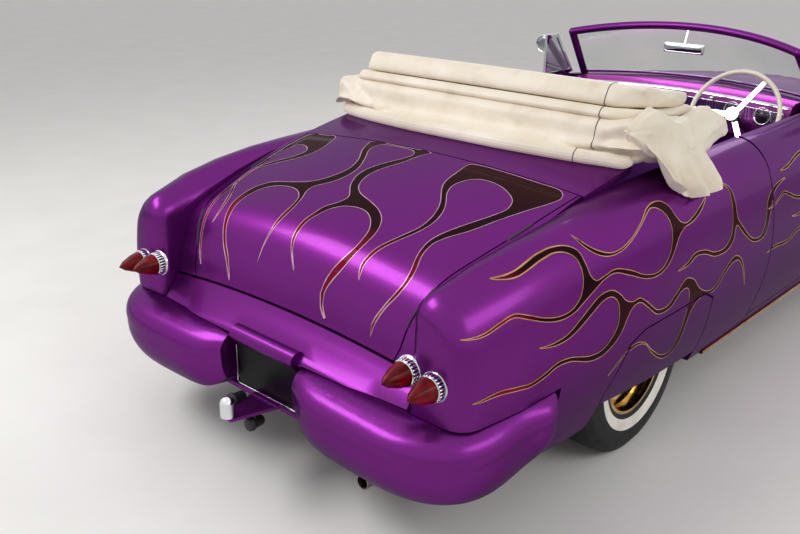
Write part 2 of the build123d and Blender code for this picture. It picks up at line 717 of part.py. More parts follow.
def chassis_frame():
    low = [(-2384, 400), (-1700, 400), (-1580, 450), (-1080, 450), (-870, 180), (1240, 180), (1330, 300), (2464, 330)]
    high = [(2464, 410), (1300, 400), (1180, 258), (-830, 258), (-1050, 512), (-1600, 512), (-1720, 480), (-2384, 480)]
    rail = slab_y(low + high, *RAIL_Y)
    frame = rail + other(rail)
    for x, z0, z1 in ((-2310, 400, 470), (-1700, 420, 470), (-780, 190, 250), (300, 190, 250), (1160, 190, 250),
                      (2330, 335, 400)):
        frame += box(x - 35, x + 35, -RAIL_Y[0] - 5, RAIL_Y[0] + 5, z0, z1)
    return frame


SPRING_Y = (540, 596)
TUNNEL = (130, 430)
SEAT_PAN_Z = 400
BOOT_FLOOR_Z = 528
HEEL_X = -615
HOUSING_GAP = 36
HOUSING_WALL = 40
HOUSING_Y = (HALF_TRACK - TYRE_WIDTH / 2 - HOUSING_GAP - HOUSING_WALL, HALF_TRACK - TYRE_WIDTH / 2 - HOUSING_GAP)
HOUSING_TOP_Z = 800


def floor_pan():
    """The floor with its tunnel, seat pan, wheel housings, boot floor and the walls beside the rear seat."""
    t = FLOOR_THICKNESS
    line = [(FIREWALL_X - 25, FLOOR_Z), (HEEL_X, FLOOR_Z), (HEEL_X - 15, SEAT_PAN_Z), (-900, SEAT_PAN_Z),
            (-1040, BOOT_FLOOR_Z), (BOOT_FLOOR_END_X + SEAT_GAP, BOOT_FLOOR_Z)]
    top = [(x, z + t) for x, z in reversed(line[3:])] + [(HEEL_X + t, SEAT_PAN_Z + t), (HEEL_X + t, FLOOR_Z + t),
                                                        (FIREWALL_X - 25, FLOOR_Z + t)]
    floor = slab_y(line + top, -HOUSING_Y[0], HOUSING_Y[0])
    y, z = TUNNEL
    under = box(HEEL_X - 50, FIREWALL_X + 10, -y + t, y - t, 150, z - t)
    floor += box(HEEL_X, FIREWALL_X - 25, -y, y, FLOOR_Z, z)
    floor -= under
    side_floor = box(-895, FIREWALL_X - 25, HOUSING_Y[0] - 1, CABIN_HALF, FLOOR_Z, FLOOR_Z + t)
    housing = box(-1730, -900, *HOUSING_Y, BOOT_FLOOR_Z, HOUSING_TOP_Z)
    roof = box(-1730, -900, HOUSING_Y[0], 862, HOUSING_TOP_Z - t, HOUSING_TOP_Z)
    wall = box(-900, DOOR_REAR_X - SHUT_GAP, 690, 722, FLOOR_Z, 1024)
    front_end = box(-900, -900 + t, HOUSING_Y[0], CABIN_HALF, FLOOR_Z, HOUSING_TOP_Z)
    upper = box(-1250, -899, 690, 712, HOUSING_TOP_Z - t, 1020)
    # Spring hangers, and the flange that the door's inner face closes on
    hanger_front = box(-720, -690, *SPRING_Y, 267.8, SEAT_PAN_Z + 5)
    hanger_rear = box(-2010, -1980, *SPRING_Y, 385.3, BOOT_FLOOR_Z + 5)
    jamb = box(-460, -425, 715, CABIN_HALF - SEAT_GAP, SILL_TOP_Z + 20, 1000)
    for piece in (side_floor, housing, roof, wall, front_end, upper, hanger_front, hanger_rear, jamb):
        floor += piece
        floor += other(piece)
    return floor


ENGINE_LOW_Z = 335


def engine():
    return box(1120, 1900, -260, 260, ENGINE_LOW_Z, 860) + rod_x(0, 380, 140, 815, 1121)


def rear_axle():
    tube_end = HALF_TRACK - 108
    axle = rod_y(REAR_AXLE_X, TYRE_RADIUS, AXLE_TUBE_RADIUS, -tube_end, tube_end)
    stub_end = HALF_TRACK + 2
    stubs = rod_y(REAR_AXLE_X, TYRE_RADIUS, SPINDLE_RADIUS, -stub_end, stub_end)
    case = Pos(REAR_AXLE_X, 0, TYRE_RADIUS) * Sphere(135)
    shaft = rod_x(0, 340, 35, REAR_AXLE_X + 100, 815)
    leaves = slab_y([(-2010, 385), (-1700, 318), (-1325, 300), (-1000, 318), (-690, 262), (-690, 225), (-1000, 275),
                     (-1325, 262), (-1700, 280), (-2010, 345)], *SPRING_Y)
    seat = box(REAR_AXLE_X - 60, REAR_AXLE_X + 60, *SPRING_Y, 298, 360)
    return axle + stubs + case + shaft + leaves + other(leaves) + seat + other(seat)


def fuel_tank():
    return box(-2240, -1800, -340, 340, 270, BOOT_FLOOR_Z - SEAT_GAP)


def exhaust():
    y, r = -500, 25
    pipe = rod_x(y, 215, r, -2440, 1180)
    bore = rod_x(y, 215, r - 3, -2445, -2300)
    silencer = rod_x(y, 212, 44, -600, -60)
    pipe += silencer
    for x, top in ((300, FLOOR_Z), (-2250, BOOT_FLOOR_Z)):
        pipe += box(x - 10, x + 10, y - 12, y + 12, 215, top - SEAT_GAP)
    return pipe - bore


def front_suspension():
    x = FRONT_AXLE_X
    beam = box(x - 65, x + 65, -361, 361, 230, ENGINE_LOW_Z - SEAT_GAP)
    arms = []
    for z0, z1 in ((234, 264), (476, 500)):
        arms.append(slab_z([(x - 75, 350), (x + 75, 350), (x + 22, KINGPIN_Y + 10), (x - 22, KINGPIN_Y + 10)], z0, z1))
    tower = box(x - 55, x + 55, 340, 361, 330, 500)
    half = arms[0] + arms[1] + tower
    return beam + half + other(half)


def knuckle():
    x, z = FRONT_AXLE_X, TYRE_RADIUS
    post = rod_z(x, KINGPIN_Y, 19, 264 + SEAT_GAP, 476 - SEAT_GAP)
    spindle = rod_y(x, z, SPINDLE_RADIUS, KINGPIN_Y, HALF_TRACK + 20)
    plate = rod_y(x, z, 88, KINGPIN_Y + 16, KINGPIN_Y + 26)
    return post + spindle + plate


def wheel(x):
    """A pressed wheel with its drum and hub. Offsets are outboard from the wheel's middle."""
    h = RIM_WIDTH / 2
    bore = SPINDLE_RADIUS + RUNNING_GAP
    barrel = [(-h, RIM_RADIUS), (-h, RIM_RADIUS - 12), (-h + 18, RIM_RADIUS - 18), (h - 18, RIM_RADIUS - 18),
              (h, RIM_RADIUS - 12), (h, RIM_RADIUS)]
    disc = [(12, RIM_RADIUS - 17), (24, RIM_RADIUS - 17), (46, 108), (34, 60), (34, 30), (24, 30), (24, 62), (36, 108)]
    drum = [(-66, DRUM_RADIUS - 8), (-66, DRUM_RADIUS), (8, DRUM_RADIUS), (8, bore + 4), (0, bore + 4),
            (0, DRUM_RADIUS - 8)]
    hub = [(-66, bore), (-66, 44), (36, 44), (36, bore)]
    solid = turned(barrel, x, TYRE_RADIUS, HALF_TRACK)
    for section in (disc, drum, hub):
        solid += turned(section, x, TYRE_RADIUS, HALF_TRACK)
    return solid


def tyre(x):
    h, r = TYRE_WIDTH / 2, TYRE_RADIUS
    inner = RIM_RADIUS + 0.2
    hb = RIM_WIDTH / 2
    profile = [(-hb, inner), (-h + 4, inner + 40), (-h, inner + 80), (-h + 8, r - 32), (-h + 26, r - 6), (-h + 40, r),
               (h - 40, r), (h - 26, r - 6), (h - 8, r - 32), (h, inner + 80), (h - 4, inner + 40), (hb, inner)]
    return turned(profile, x, TYRE_RADIUS, HALF_TRACK)


# Lamps

LAMP_RADIUS = 48
LAMPS = [(-2388, 655, 655), (-2388, 756, 640)]


def tail_lamp_parts():
    bezels, lenses = [], []
    for x, y, z in LAMPS:
        place = Pos(x, y, z) * Rot(0, -90, 0)
        ring = revolve(make_face(Polyline((30, 0), (48, 0), (48, 8), (44, 12), (43, 36), (38, 40), (30, 40),
                                          close=True)), Axis.Y, 360)
        lens = revolve(make_face(Polyline((0, 2), (29.7, 2), (29.7, 40.3), (41, 40.3), (34, 70), (18, 108), (0, 130),
                                          close=True)), Axis.Y, 360)
        tip = Rot(90, 0, 0)
        bezels.append(place * tip * ring)
        lenses.append(place * tip * lens)
    return bezels, lenses


def headlamps():
    ring = revolve(make_face(Polyline((0, 0), (88, 0), (94, 8), (88, 22), (60, 34), (0, 42), close=True)), Axis.Y, 360)
    return Pos(NOSE_X, 700, 690) * Rot(0, 90, 0) * Rot(90, 0, 0) * ring


TOW_ARM = (306, 318)
TOW_BALL_X = -2588


def tow_bar():
    cross = rod_y(-2358, 272, 20, -RAIL_Y[1], RAIL_Y[1])
    hanger = box(-2378, -2318, *RAIL_Y, 262, 400 - SEAT_GAP)
    arm = slab_z([(-2350, -90), (-2350, 90), (TOW_BALL_X - 8, 26), (TOW_BALL_X - 8, -26)], *TOW_ARM)
    web = box(-2440, -2345, -6, 6, 270, TOW_ARM[0] + 1)
    return cross + hanger + other(hanger) + arm + web


def tow_ball():
    post = rod_z(TOW_BALL_X, 0, 26, TOW_ARM[1] + 0.1, 366)
    return post + Pos(TOW_BALL_X, 0, 366) * Sphere(26)


def vent_window():
    y = 752
    frame = slab_y([(600, 1090), (412, 1322), (300, 1322), (300, 1060), (560, 1060), (560, 1086)], y - 8, y + 8)
    hole = slab_y([(566, 1106), (408, 1302), (318, 1302), (318, 1104)], y - 20, y + 20)
    pane = slab_y([(568, 1104), (410, 1304), (316, 1304), (316, 1102)], y - 2.5, y + 2.5)
    return frame - hole + pane - Pos(0, 0, SEAT_GAP) * door()


def door_mirror():
    foot = rod_z(492, 806, 12, 1040, 1076) - Pos(0, 0, SEAT_GAP) * door()
    arm = sweep(Plane(origin=(492, 806, 1072), z_dir=(0, 0.42, 1)) * Circle(6), path=Line((492, 806, 1072), (482, 880, 1225)))
    head = rod_x(885, 1250, 50, 470, 492)
    return foot + arm + head


os.makedirs("parts", exist_ok=True)
bezels, lenses = tail_lamp_parts()
lamp = headlamps()
PIECES = {
    "chassis_frame": [chassis_frame()],
    "floor_pan": [floor_pan()],
    "cowl": [cowl()],
    "front_fenders": pair(front_fender()),
    "quarter_panels": pair(quarters()),
    "wheel_skirts": pair(skirts()),
    "deck_panel": [deck_panel()],
    "rear_valance": [rear_valance()],
    "nose_panel": [nose_panel()],
    "grille": [grille()],
    "front_bumper": [front_bumper()],
    "rear_bumpers": pair(pod()),
    "number_plate": [number_plate()],
    "tow_bar": [tow_bar()],
    "tow_ball": [tow_ball()],
    "tail_lamp_bezels": [p for s in bezels for p in pair(s)],
    "tail_lamp_lenses": [p for s in lenses for p in pair(s)],
    "headlamps": pair(lamp),
    "sills": pair(sill()),
    "sill_strips": pair(sill_strip()),
    "windscreen_frame": [windscreen_frame()],
    "windscreen_glass": [windscreen_glass()],
    "interior_mirror": [interior_mirror()],
    "dashboard": [dashboard()],
    "steering_column": [steering_column()],
    "steering_wheel": [steering_wheel()],
    "front_seat": [front_seat()],
    "rear_seat": [rear_seat()],
    "folded_top": [folded_top()],
    "engine": [engine()],
    "fuel_tank": [fuel_tank()],
    "exhaust": [exhaust()],
    "rear_axle": [rear_axle()],
    "front_suspension": [front_suspension()],
    "hood": [hood()],
    "boot_lid": [boot_lid()],
}
for side, way in (("left", lambda s: s), ("right", other)):
    PIECES[f"door_{side}"] = [way(door())]
    PIECES[f"vent_window_{side}"] = [way(vent_window())]
    PIECES[f"door_mirror_{side}"] = [way(door_mirror())]
    PIECES[f"knuckle_{side}"] = [way(knuckle())]
    for end, x in (("front", FRONT_AXLE_X), ("rear", REAR_AXLE_X)):
        PIECES[f"wheel_{end}_{side}"] = [way(wheel(x))]
        PIECES[f"tyre_{end}_{side}"] = [way(tyre(x))]
for name, solids in PIECES.items():
    write(name, *solids)
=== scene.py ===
import bpy
import bmesh
import json
import math
from mathutils import Vector, Matrix, noise
from mathutils.bvhtree import BVHTree
from mathutils.geometry import tessellate_polygon

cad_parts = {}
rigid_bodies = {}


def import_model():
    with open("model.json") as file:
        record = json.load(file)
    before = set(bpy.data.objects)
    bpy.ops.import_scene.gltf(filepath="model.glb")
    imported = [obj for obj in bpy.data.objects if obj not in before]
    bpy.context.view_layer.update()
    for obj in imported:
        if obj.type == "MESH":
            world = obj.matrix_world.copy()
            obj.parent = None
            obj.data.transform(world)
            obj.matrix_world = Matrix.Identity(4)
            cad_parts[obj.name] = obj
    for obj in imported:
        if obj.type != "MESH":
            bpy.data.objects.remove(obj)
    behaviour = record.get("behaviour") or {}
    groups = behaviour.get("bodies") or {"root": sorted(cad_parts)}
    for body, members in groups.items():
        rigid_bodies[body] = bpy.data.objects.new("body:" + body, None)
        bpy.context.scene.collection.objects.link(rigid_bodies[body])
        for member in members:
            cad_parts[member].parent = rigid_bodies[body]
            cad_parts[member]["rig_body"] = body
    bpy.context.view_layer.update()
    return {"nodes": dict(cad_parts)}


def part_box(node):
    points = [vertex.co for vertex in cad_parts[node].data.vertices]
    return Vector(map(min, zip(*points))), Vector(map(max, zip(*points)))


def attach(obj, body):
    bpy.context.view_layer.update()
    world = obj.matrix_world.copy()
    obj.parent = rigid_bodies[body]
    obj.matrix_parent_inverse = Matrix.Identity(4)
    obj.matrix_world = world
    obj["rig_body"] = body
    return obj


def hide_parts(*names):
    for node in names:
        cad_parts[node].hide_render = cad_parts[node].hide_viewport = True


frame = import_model()
nodes = frame["nodes"]
scene = bpy.context.scene


# Camera and light

CAMERA_PLACE = Vector((-4.177, -2.252, 1.879))
CAMERA_YAW = math.radians(42.66)
CAMERA_DOWN = math.radians(20.54)
CAMERA_ROLL = math.radians(0.81)
CAMERA_LENS = 40.52


def make_camera():
    """The camera, in the place and direction that were fitted to the photo."""
    ahead = Vector((math.cos(CAMERA_YAW) * math.cos(CAMERA_DOWN),
                    math.sin(CAMERA_YAW) * math.cos(CAMERA_DOWN), -math.sin(CAMERA_DOWN)))
    level = ahead.cross(Vector((0, 0, 1))).normalized()
    upright = level.cross(ahead)
    right = math.cos(CAMERA_ROLL) * level + math.sin(CAMERA_ROLL) * upright
    up = math.cos(CAMERA_ROLL) * upright - math.sin(CAMERA_ROLL) * level
    data = bpy.data.cameras.new("camera")
    data.lens = CAMERA_LENS
    data.sensor_width = 36
    data.clip_end = 200
    camera = bpy.data.objects.new("camera", data)
    matrix = Matrix((right, up, -ahead)).transposed().to_4x4()
    matrix.translation = CAMERA_PLACE
    camera.matrix_world = matrix
    scene.collection.objects.link(camera)
    scene.camera = camera


def make_lamp(name, place, target, size, watts):
    """A soft rectangular lamp that points at a target."""
    data = bpy.data.lights.new(name, "AREA")
    data.shape = "RECTANGLE"
    data.size, data.size_y = size
    data.energy = watts
    lamp = bpy.data.objects.new(name, data)
    lamp.location = place
    lamp.rotation_euler = (Vector(target) - Vector(place)).to_track_quat("-Z", "Y").to_euler()
    scene.collection.objects.link(lamp)


def make_world():
    """A plain light all round, which the camera and shiny or clear surfaces see as white."""
    world = bpy.data.worlds.new("studio")
    scene.world = world
    world.use_nodes = True
    tree = world.node_tree
    tree.nodes.clear()
    path = tree.nodes.new("ShaderNodeLightPath")
    seen = tree.nodes.new("ShaderNodeMath")
    seen.operation = "MAXIMUM"
    tree.links.new(path.outputs["Is Camera Ray"], seen.inputs[0])
    tree.links.new(path.outputs["Is Glossy Ray"], seen.inputs[1])
    either = tree.nodes.new("ShaderNodeMath")
    either.operation = "MAXIMUM"
    tree.links.new(seen.outputs[0], either.inputs[0])
    tree.links.new(path.outputs["Is Transmission Ray"], either.inputs[1])
    soft = tree.nodes.new("ShaderNodeBackground")
    soft.inputs["Color"].default_value = (1, 1, 1, 1)
    soft.inputs["Strength"].default_value = 0.5
    white = tree.nodes.new("ShaderNodeBackground")
    white.inputs["Color"].default_value = (1, 1, 1, 1)
    white.inputs["Strength"].default_value = 1
    mix = tree.nodes.new("ShaderNodeMixShader")
    out = tree.nodes.new("ShaderNodeOutputWorld")
    tree.links.new(either.outputs[0], mix.inputs[0])
    tree.links.new(soft.outputs[0], mix.inputs[1])
    tree.links.new(white.outputs[0], mix.inputs[2])
    tree.links.new(mix.outputs[0], out.inputs[0])


make_camera()
make_world()
make_lamp("key", (-4.5, 2.5, 4.5), (-1.5, 0, 0.8), (4.0, 1.6), 150)
make_lamp("fill", (-1.5, -5.5, 4.0), (-0.5, 0, 0.8), (5.0, 2.0), 90)
make_lamp("front", (5.0, 1.5, 4.2), (1.5, 0, 0.8), (3.0, 2.0), 70)
scene.view_settings.view_transform = "Standard"


# Materials

def linear(text):
    """A colour in linear light from its six hex digits."""
    values = [int(text[i:i + 2], 16) / 255 for i in (0, 2, 4)]
    return tuple(v / 12.92 if v <= 0.04045 else ((v + 0.055) / 1.055) ** 2.4 for v in values) + (1.0,)


class Finish:
    """A node material round one shader, with helpers for the patterns that it uses."""

    def __init__(self, name, metallic=0.0, roughness=0.5, **sockets):
        self.material = bpy.data.materials.new(name)
        self.material.use_nodes = True
        self.tree = self.material.node_tree
        self.shader = self.tree.nodes["Principled BSDF"]
        self.set("Metallic", metallic)
        self.set("Roughness", roughness)
        for socket, value in sockets.items():
            self.set(socket.replace("_", " "), value)
        self.place = self.node("ShaderNodeTexCoord").outputs["Object"]
        self.height = None

    def node(self, kind, **settings):
        made = self.tree.nodes.new(kind)
        for key, value in settings.items():
            setattr(made, key, value)
        return made

    def link(self, out, to):
        self.tree.links.new(out, to)

    def set(self, socket, value):
        self.shader.inputs[socket].default_value = value

    def noise(self, scale, detail=3.0, stretch=None, place=None):
        made = self.node("ShaderNodeTexNoise")
        made.inputs["Scale"].default_value = scale
        made.inputs["Detail"].default_value = detail
        start = place or self.place
        if stretch:
            mapping = self.node("ShaderNodeMapping")
            mapping.inputs["Scale"].default_value = stretch
            self.link(start, mapping.inputs["Vector"])
            start = mapping.outputs[0]
        self.link(start, made.inputs["Vector"])
        return made.outputs["Fac"]

    def ramp(self, value, *stops):
        made = self.node("ShaderNodeValToRGB")
        elements = made.color_ramp.elements
        while len(elements) < len(stops):
            elements.new(0.5)
        for element, (at, colour) in zip(elements, stops):
            element.position = at
            element.color = linear(colour) if isinstance(colour, str) else (colour, colour, colour, 1)
        self.link(value, made.inputs[0])
        return made.outputs[0]

    def math(self, operation, a, b=None):
        made = self.node("ShaderNodeMath", operation=operation)
        for socket, value in zip(made.inputs, (a, b)):
            if value is None:
                continue
            if isinstance(value, (int, float)):
                socket.default_value = value
            else:
                self.link(value, socket)
        return made.outputs[0]

    def mix(self, factor, a, b):
        made = self.node("ShaderNodeMix", data_type="RGBA")
        for socket, value in ((made.inputs["Factor"], factor), (made.inputs[6], a), (made.inputs[7], b)):
            if isinstance(value, str):
                socket.default_value = linear(value)
            elif isinstance(value, (int, float)):
                socket.default_value = value
            else:
                self.link(value, socket)
        return made.outputs[2]

    def axes(self, place=None):
        made = self.node("ShaderNodeSeparateXYZ")
        self.link(place or self.place, made.inputs[0])
        return list(made.outputs)

    def distance(self, *pairs):
        """How far a place lies from a middle, from pairs of an axis and the middle's value on it."""
        squares = [self.math("POWER", self.math("SUBTRACT", axis, middle), 2.0) for axis, middle in pairs]
        total = squares[0]
        for square in squares[1:]:
            total = self.math("ADD", total, square)
        return self.math("SQRT", total)

    def chrome(self):
        return self.ramp(self.noise(9, 4.0), (0.3, "c9ccd2"), (0.7, "f2f3f5"))

    def cream(self):
        return self.ramp(self.noise(6, 3.0), (0.3, "e4dac2"), (0.7, "f3ecda"))

    def colour(self, out):
        self.link(out, self.shader.inputs["Base Color"])
        return self

    def rough(self, out, low, high):
        made = self.node("ShaderNodeMapRange")
        made.inputs["To Min"].default_value = low
        made.inputs["To Max"].default_value = high
        self.link(out, made.inputs["Value"])
        self.link(made.outputs[0], self.shader.inputs["Roughness"])
        return self

    def bump(self, out, depth, strength=1.0):
        """Adds a bump of a depth in metres; a second call stacks on the first."""
        made = self.node("ShaderNodeBump")
        made.inputs["Distance"].default_value = depth
        made.inputs["Strength"].default_value = strength
        self.link(out, made.inputs["Height"])
        if self.height:
            self.link(self.height, made.inputs["Normal"])
        self.height = made.outputs[0]
        self.link(self.height, self.shader.inputs["Normal"])
        return self


def candy(name, dark, bright):
    """Candy paint: fine metal flake under a clear coat, with a faint ripple."""
    f = Finish(name, metallic=0.85, roughness=0.3, Specular_Tint=linear(bright), Coat_Weight=0.25,
               Coat_Roughness=0.09, Coat_IOR=1.3)
    flake = f.ramp(f.noise(1400, 2.0), (0.35, dark), (0.68, bright))
    cloud = f.ramp(f.noise(1.7, 2.0), (0.35, 0.0), (0.7, 1.0))
    deep = f.mix(0.16, flake, dark)
    f.colour(f.mix(cloud, deep, flake))
    f.rough(f.noise(60, 2.0), 0.27, 0.36)
    return f.bump(f.noise(160, 2.0), 0.0004, 0.12).material


def metal(name, dark, bright, low=0.04, high=0.12, metallic=1.0):
    f = Finish(name, metallic=metallic)
    f.colour(f.ramp(f.noise(9, 4.0), (0.3, dark), (0.7, bright)))
    f.rough(f.noise(45, 5.0), low, high)
    return f.bump(f.noise(300, 3.0), 0.0002, 0.08).material


def matt(name, dark, bright, scale=40, grain=0.0006, low=0.55, high=0.85, strength=0.4, **sockets):
    f = Finish(name, **sockets)
    f.colour(f.ramp(f.noise(scale, 5.0), (0.3, dark), (0.7, bright)))
    f.rough(f.noise(scale * 0.4, 4.0), low, high)
    return f.bump(f.noise(scale * 8, 4.0), grain, strength).material


PURPLE = candy("candy_purple", "55145e", "8a3094")
CHROME = metal("bright_chrome", "c9ccd2", "f2f3f5")
GOLD_TRIM = metal("gold_trim", "b08b48", "e3c684", 0.1, 0.22)
BLACK_PAINT = matt("frame_black", "0b0b0d", "1b1b1e", 30, 0.0004, 0.35, 0.6)
UNDERSIDE = matt("underside_black", "141416", "26262a", 22, 0.0015, 0.7, 0.95, 0.7)
STEEL = metal("exhaust_steel", "6c625b", "a39a90", 0.28, 0.5)
CAST = metal("cast_grey", "55585c", "85888c", 0.4, 0.6, 0.6)

# Places that the materials follow, in metres
STEERING_CENTRE = (0.273, -0.415, 1.028)
VENT_PLANE = 0.752
HEADLAMP_Y, HEADLAMP_Z = 0.700, 0.690
HEADLAMP_LENS = (0.0790, 0.0805)
FRONT_AXLE, REAR_AXLE, AXLE_Z = 1.675, -1.325, 0.355
WHEEL_CAP = (0.150, 0.156)
WHITEWALL = (0.214, 0.256)


def cream_material():
    f = Finish("cream_wheel", roughness=0.2, Coat_Weight=0.6, Coat_Roughness=0.08)
    f.colour(f.cream())
    return f.rough(f.noise(50, 4.0), 0.16, 0.3).material


CREAM_PAINT = cream_material()


def steering_material():
    """Cream rim with bright spokes and hub: the finish follows the distance from the wheel's middle."""
    f = Finish("steering_wheel", roughness=0.2, Coat_Weight=0.3, Coat_Roughness=0.08)
    rim = f.ramp(f.distance(*zip(f.axes(), STEERING_CENTRE)), (0.206, 0.0), (0.211, 1.0))
    f.colour(f.mix(rim, f.chrome(), f.cream()))
    f.link(f.math("SUBTRACT", 1.0, rim), f.shader.inputs["Metallic"])
    f.rough(f.noise(50, 4.0), 0.1, 0.24)
    return f.bump(f.noise(300, 3.0), 0.0002, 0.08).material


def vent_material():
    """Bright frame and clear pane: the pane is the thin part, near the window's own middle plane."""
    f = Finish("vent_window", roughness=0.05, IOR=1.45)
    depth = f.math("ABSOLUTE", f.math("SUBTRACT", f.math("ABSOLUTE", f.axes()[1]), VENT_PLANE))
    pane = f.ramp(depth, (0.0030, 1.0), (0.0038, 0.0))
    f.colour(f.mix(pane, f.chrome(), "eef6f2"))
    f.link(pane, f.shader.inputs["Transmission Weight"])
    f.link(f.math("SUBTRACT", 1.0, pane), f.shader.inputs["Metallic"])
    f.rough(f.noise(45, 4.0), 0.02, 0.08)
    return f.bump(f.noise(300, 3.0), 0.0002, 0.05).material


def bezel_material():
    """Bright flange and lip with a dark band between them, for the ribs to stand on."""
    f = Finish("lamp_bezel", metallic=1.0, roughness=0.1)
    from_tail = f.math("ADD", f.axes()[0], 3.0)
    back = f.ramp(from_tail, (0.5770, 1.0), (0.5775, 0.0))
    front = f.ramp(from_tail, (0.6000, 0.0), (0.6005, 1.0))
    dark = f.ramp(f.noise(30, 4.0), (0.3, "0b0a0e"), (0.7, "1c1a20"))
    f.colour(f.mix(f.math("ADD", back, front), dark, f.chrome()))
    f.rough(f.noise(45, 5.0), 0.06, 0.16)
    return f.bump(f.noise(300, 3.0), 0.0002, 0.08).material


DASH_PAINT = candy("dash_candy", "9a3f9c", "c868c4")
MIRROR_GLASS = metal("mirror_silver", "8e9299", "b4b8be", 0.01, 0.03)
PLATE_BLACK = matt("plate_black", "060607", "0f0f11", 60, 0.0003, 0.3, 0.45, 0.2, Specular_IOR_Level=0.08)


def glass(name, tint, **sockets):
    f = Finish(name, roughness=0.02, Transmission_Weight=1.0, IOR=1.45, **sockets)
    f.colour(f.ramp(f.noise(3, 2.0), (0.3, tint), (0.7, "ffffff")))
    return f.rough(f.noise(30, 4.0), 0.0, 0.04).material


CLEAR_GLASS = glass("window_glass", "eef6f2")


def lens_material():
    """Moulded red lens: rings of small prisms round the lamp's axis show through a clear face."""
    f = Finish("red_lens", roughness=0.12, Specular_IOR_Level=0.12, Coat_Weight=0.06, Coat_Roughness=0.02)
    f.colour(f.ramp(f.noise(26, 3.0), (0.3, "4a0107"), (0.75, "8c0610")))
    f.rough(f.noise(90, 3.0), 0.05, 0.16)
    rings = f.math("SINE", f.math("MULTIPLY", f.axes()[0], 1400.0))
    return f.bump(rings, 0.0006, 0.35).material


RED_LENS = lens_material()


def wheel_material(name, centre):
    """Painted wheel with a bright cap: the finish follows the distance from the wheel's own axis."""
    f = Finish(name, metallic=1.0, roughness=0.12)
    reach = f.distance(*zip(f.axes()[::2], centre))
    bright = f.ramp(f.noise(12, 4.0), (0.3, "c7cad0"), (0.7, "f1f2f4"))
    gold = f.ramp(f.noise(14, 4.0), (0.3, "a88440"), (0.7, "e6c982"))
    f.colour(f.mix(f.ramp(reach, (WHEEL_CAP[0], 0.0), (WHEEL_CAP[1], 1.0)), bright, gold))
    f.rough(f.noise(60, 5.0), 0.06, 0.16)
    return f.bump(f.noise(220, 3.0), 0.0002, 0.1).material


def tyre_material(name, centre):
    """Black rubber with a wide white band between two radii, scuffed a little, and fine moulded rings."""
    f = Finish(name, roughness=0.7, Specular_IOR_Level=0.35)
    reach = f.distance(*zip(f.axes()[::2], centre))
    black = f.ramp(f.noise(35, 6.0), (0.3, "0d0d0e"), (0.75, "1e1d1d"))
    white = f.ramp(f.noise(18, 6.0), (0.25, "d8d3c6"), (0.7, "f1eee6"))
    band = f.math("MULTIPLY", f.math("GREATER_THAN", reach, WHITEWALL[0]),
                  f.math("LESS_THAN", reach, WHITEWALL[1]))
    f.colour(f.mix(band, black, white))
    f.rough(f.noise(25, 5.0), 0.5, 0.85)
    f.bump(f.math("SINE", f.math("MULTIPLY", reach, 1500.0)), 0.0003, 0.3)
    return f.bump(f.noise(260, 5.0), 0.0005, 0.4).material


def headlamp_material():
    """Bright rim, and a clear fluted lens over a silvered bowl, by the distance from the lamp's own axis; the
    bowl's light and dark rings are painted reflection.
    """
    f = Finish("headlamp", metallic=1.0, roughness=0.08)
    y, z = f.axes()[1:]
    reach = f.distance((f.math("ABSOLUTE", y), HEADLAMP_Y), (z, HEADLAMP_Z))
    lens = f.ramp(reach, (HEADLAMP_LENS[0], 1.0), (HEADLAMP_LENS[1], 0.0))
    # Painted reflection in the bowl: a painted highlight in the middle, then darker and lighter rings out to
    # the rim
    painted_bowl_reflection = f.ramp(reach, (0.0, "f4f4f2"), (0.030, "9da2aa"), (0.060, "c6cace"), (0.078, "73777d"))
    f.colour(f.mix(lens, f.chrome(), painted_bowl_reflection))
    f.link(f.math("SUBTRACT", 1.0, f.math("MULTIPLY", lens, 0.55)), f.shader.inputs["Metallic"])
    f.rough(f.noise(45, 5.0), 0.05, 0.12)
    flutes = f.math("MULTIPLY", f.math("SINE", f.math("MULTIPLY", y, 620.0)), lens)
    return f.bump(flutes, 0.0012, 0.8).material


VENT = vent_material()
FINISHES = {
    "chassis_frame": BLACK_PAINT, "floor_pan": UNDERSIDE, "grille": CHROME, "number_plate": PLATE_BLACK,
    "tow_bar": PURPLE, "tow_ball": CHROME, "tail_lamp_bezels": bezel_material(), "tail_lamp_lenses": RED_LENS,
    "headlamps": headlamp_material(), "sill_strips": GOLD_TRIM, "windscreen_glass": CLEAR_GLASS,
    "interior_mirror": CHROME, "dashboard": DASH_PAINT, "steering_column": DASH_PAINT,
    "steering_wheel": steering_material(), "engine": CAST, "fuel_tank": BLACK_PAINT, "exhaust": STEEL,
    "rear_axle": BLACK_PAINT, "front_suspension": BLACK_PAINT, "knuckle_left": CAST, "knuckle_right": CAST,
    "vent_window_left": VENT, "vent_window_right": VENT, "door_mirror_left": PURPLE,
    "door_mirror_right": PURPLE,
}
for end, axle in (("front", FRONT_AXLE), ("rear", REAR_AXLE)):
    rubber = tyre_material(f"{end}_tyre", (axle, AXLE_Z))
    rim = wheel_material(f"{end}_wheel", (axle, AXLE_Z))
    for side in ("left", "right"):
        FINISHES[f"tyre_{end}_{side}"] = rubber
        FINISHES[f"wheel_{end}_{side}"] = rim


JOIN_DISTANCE = 0.00002
EDGE_ANGLE = math.radians(28)


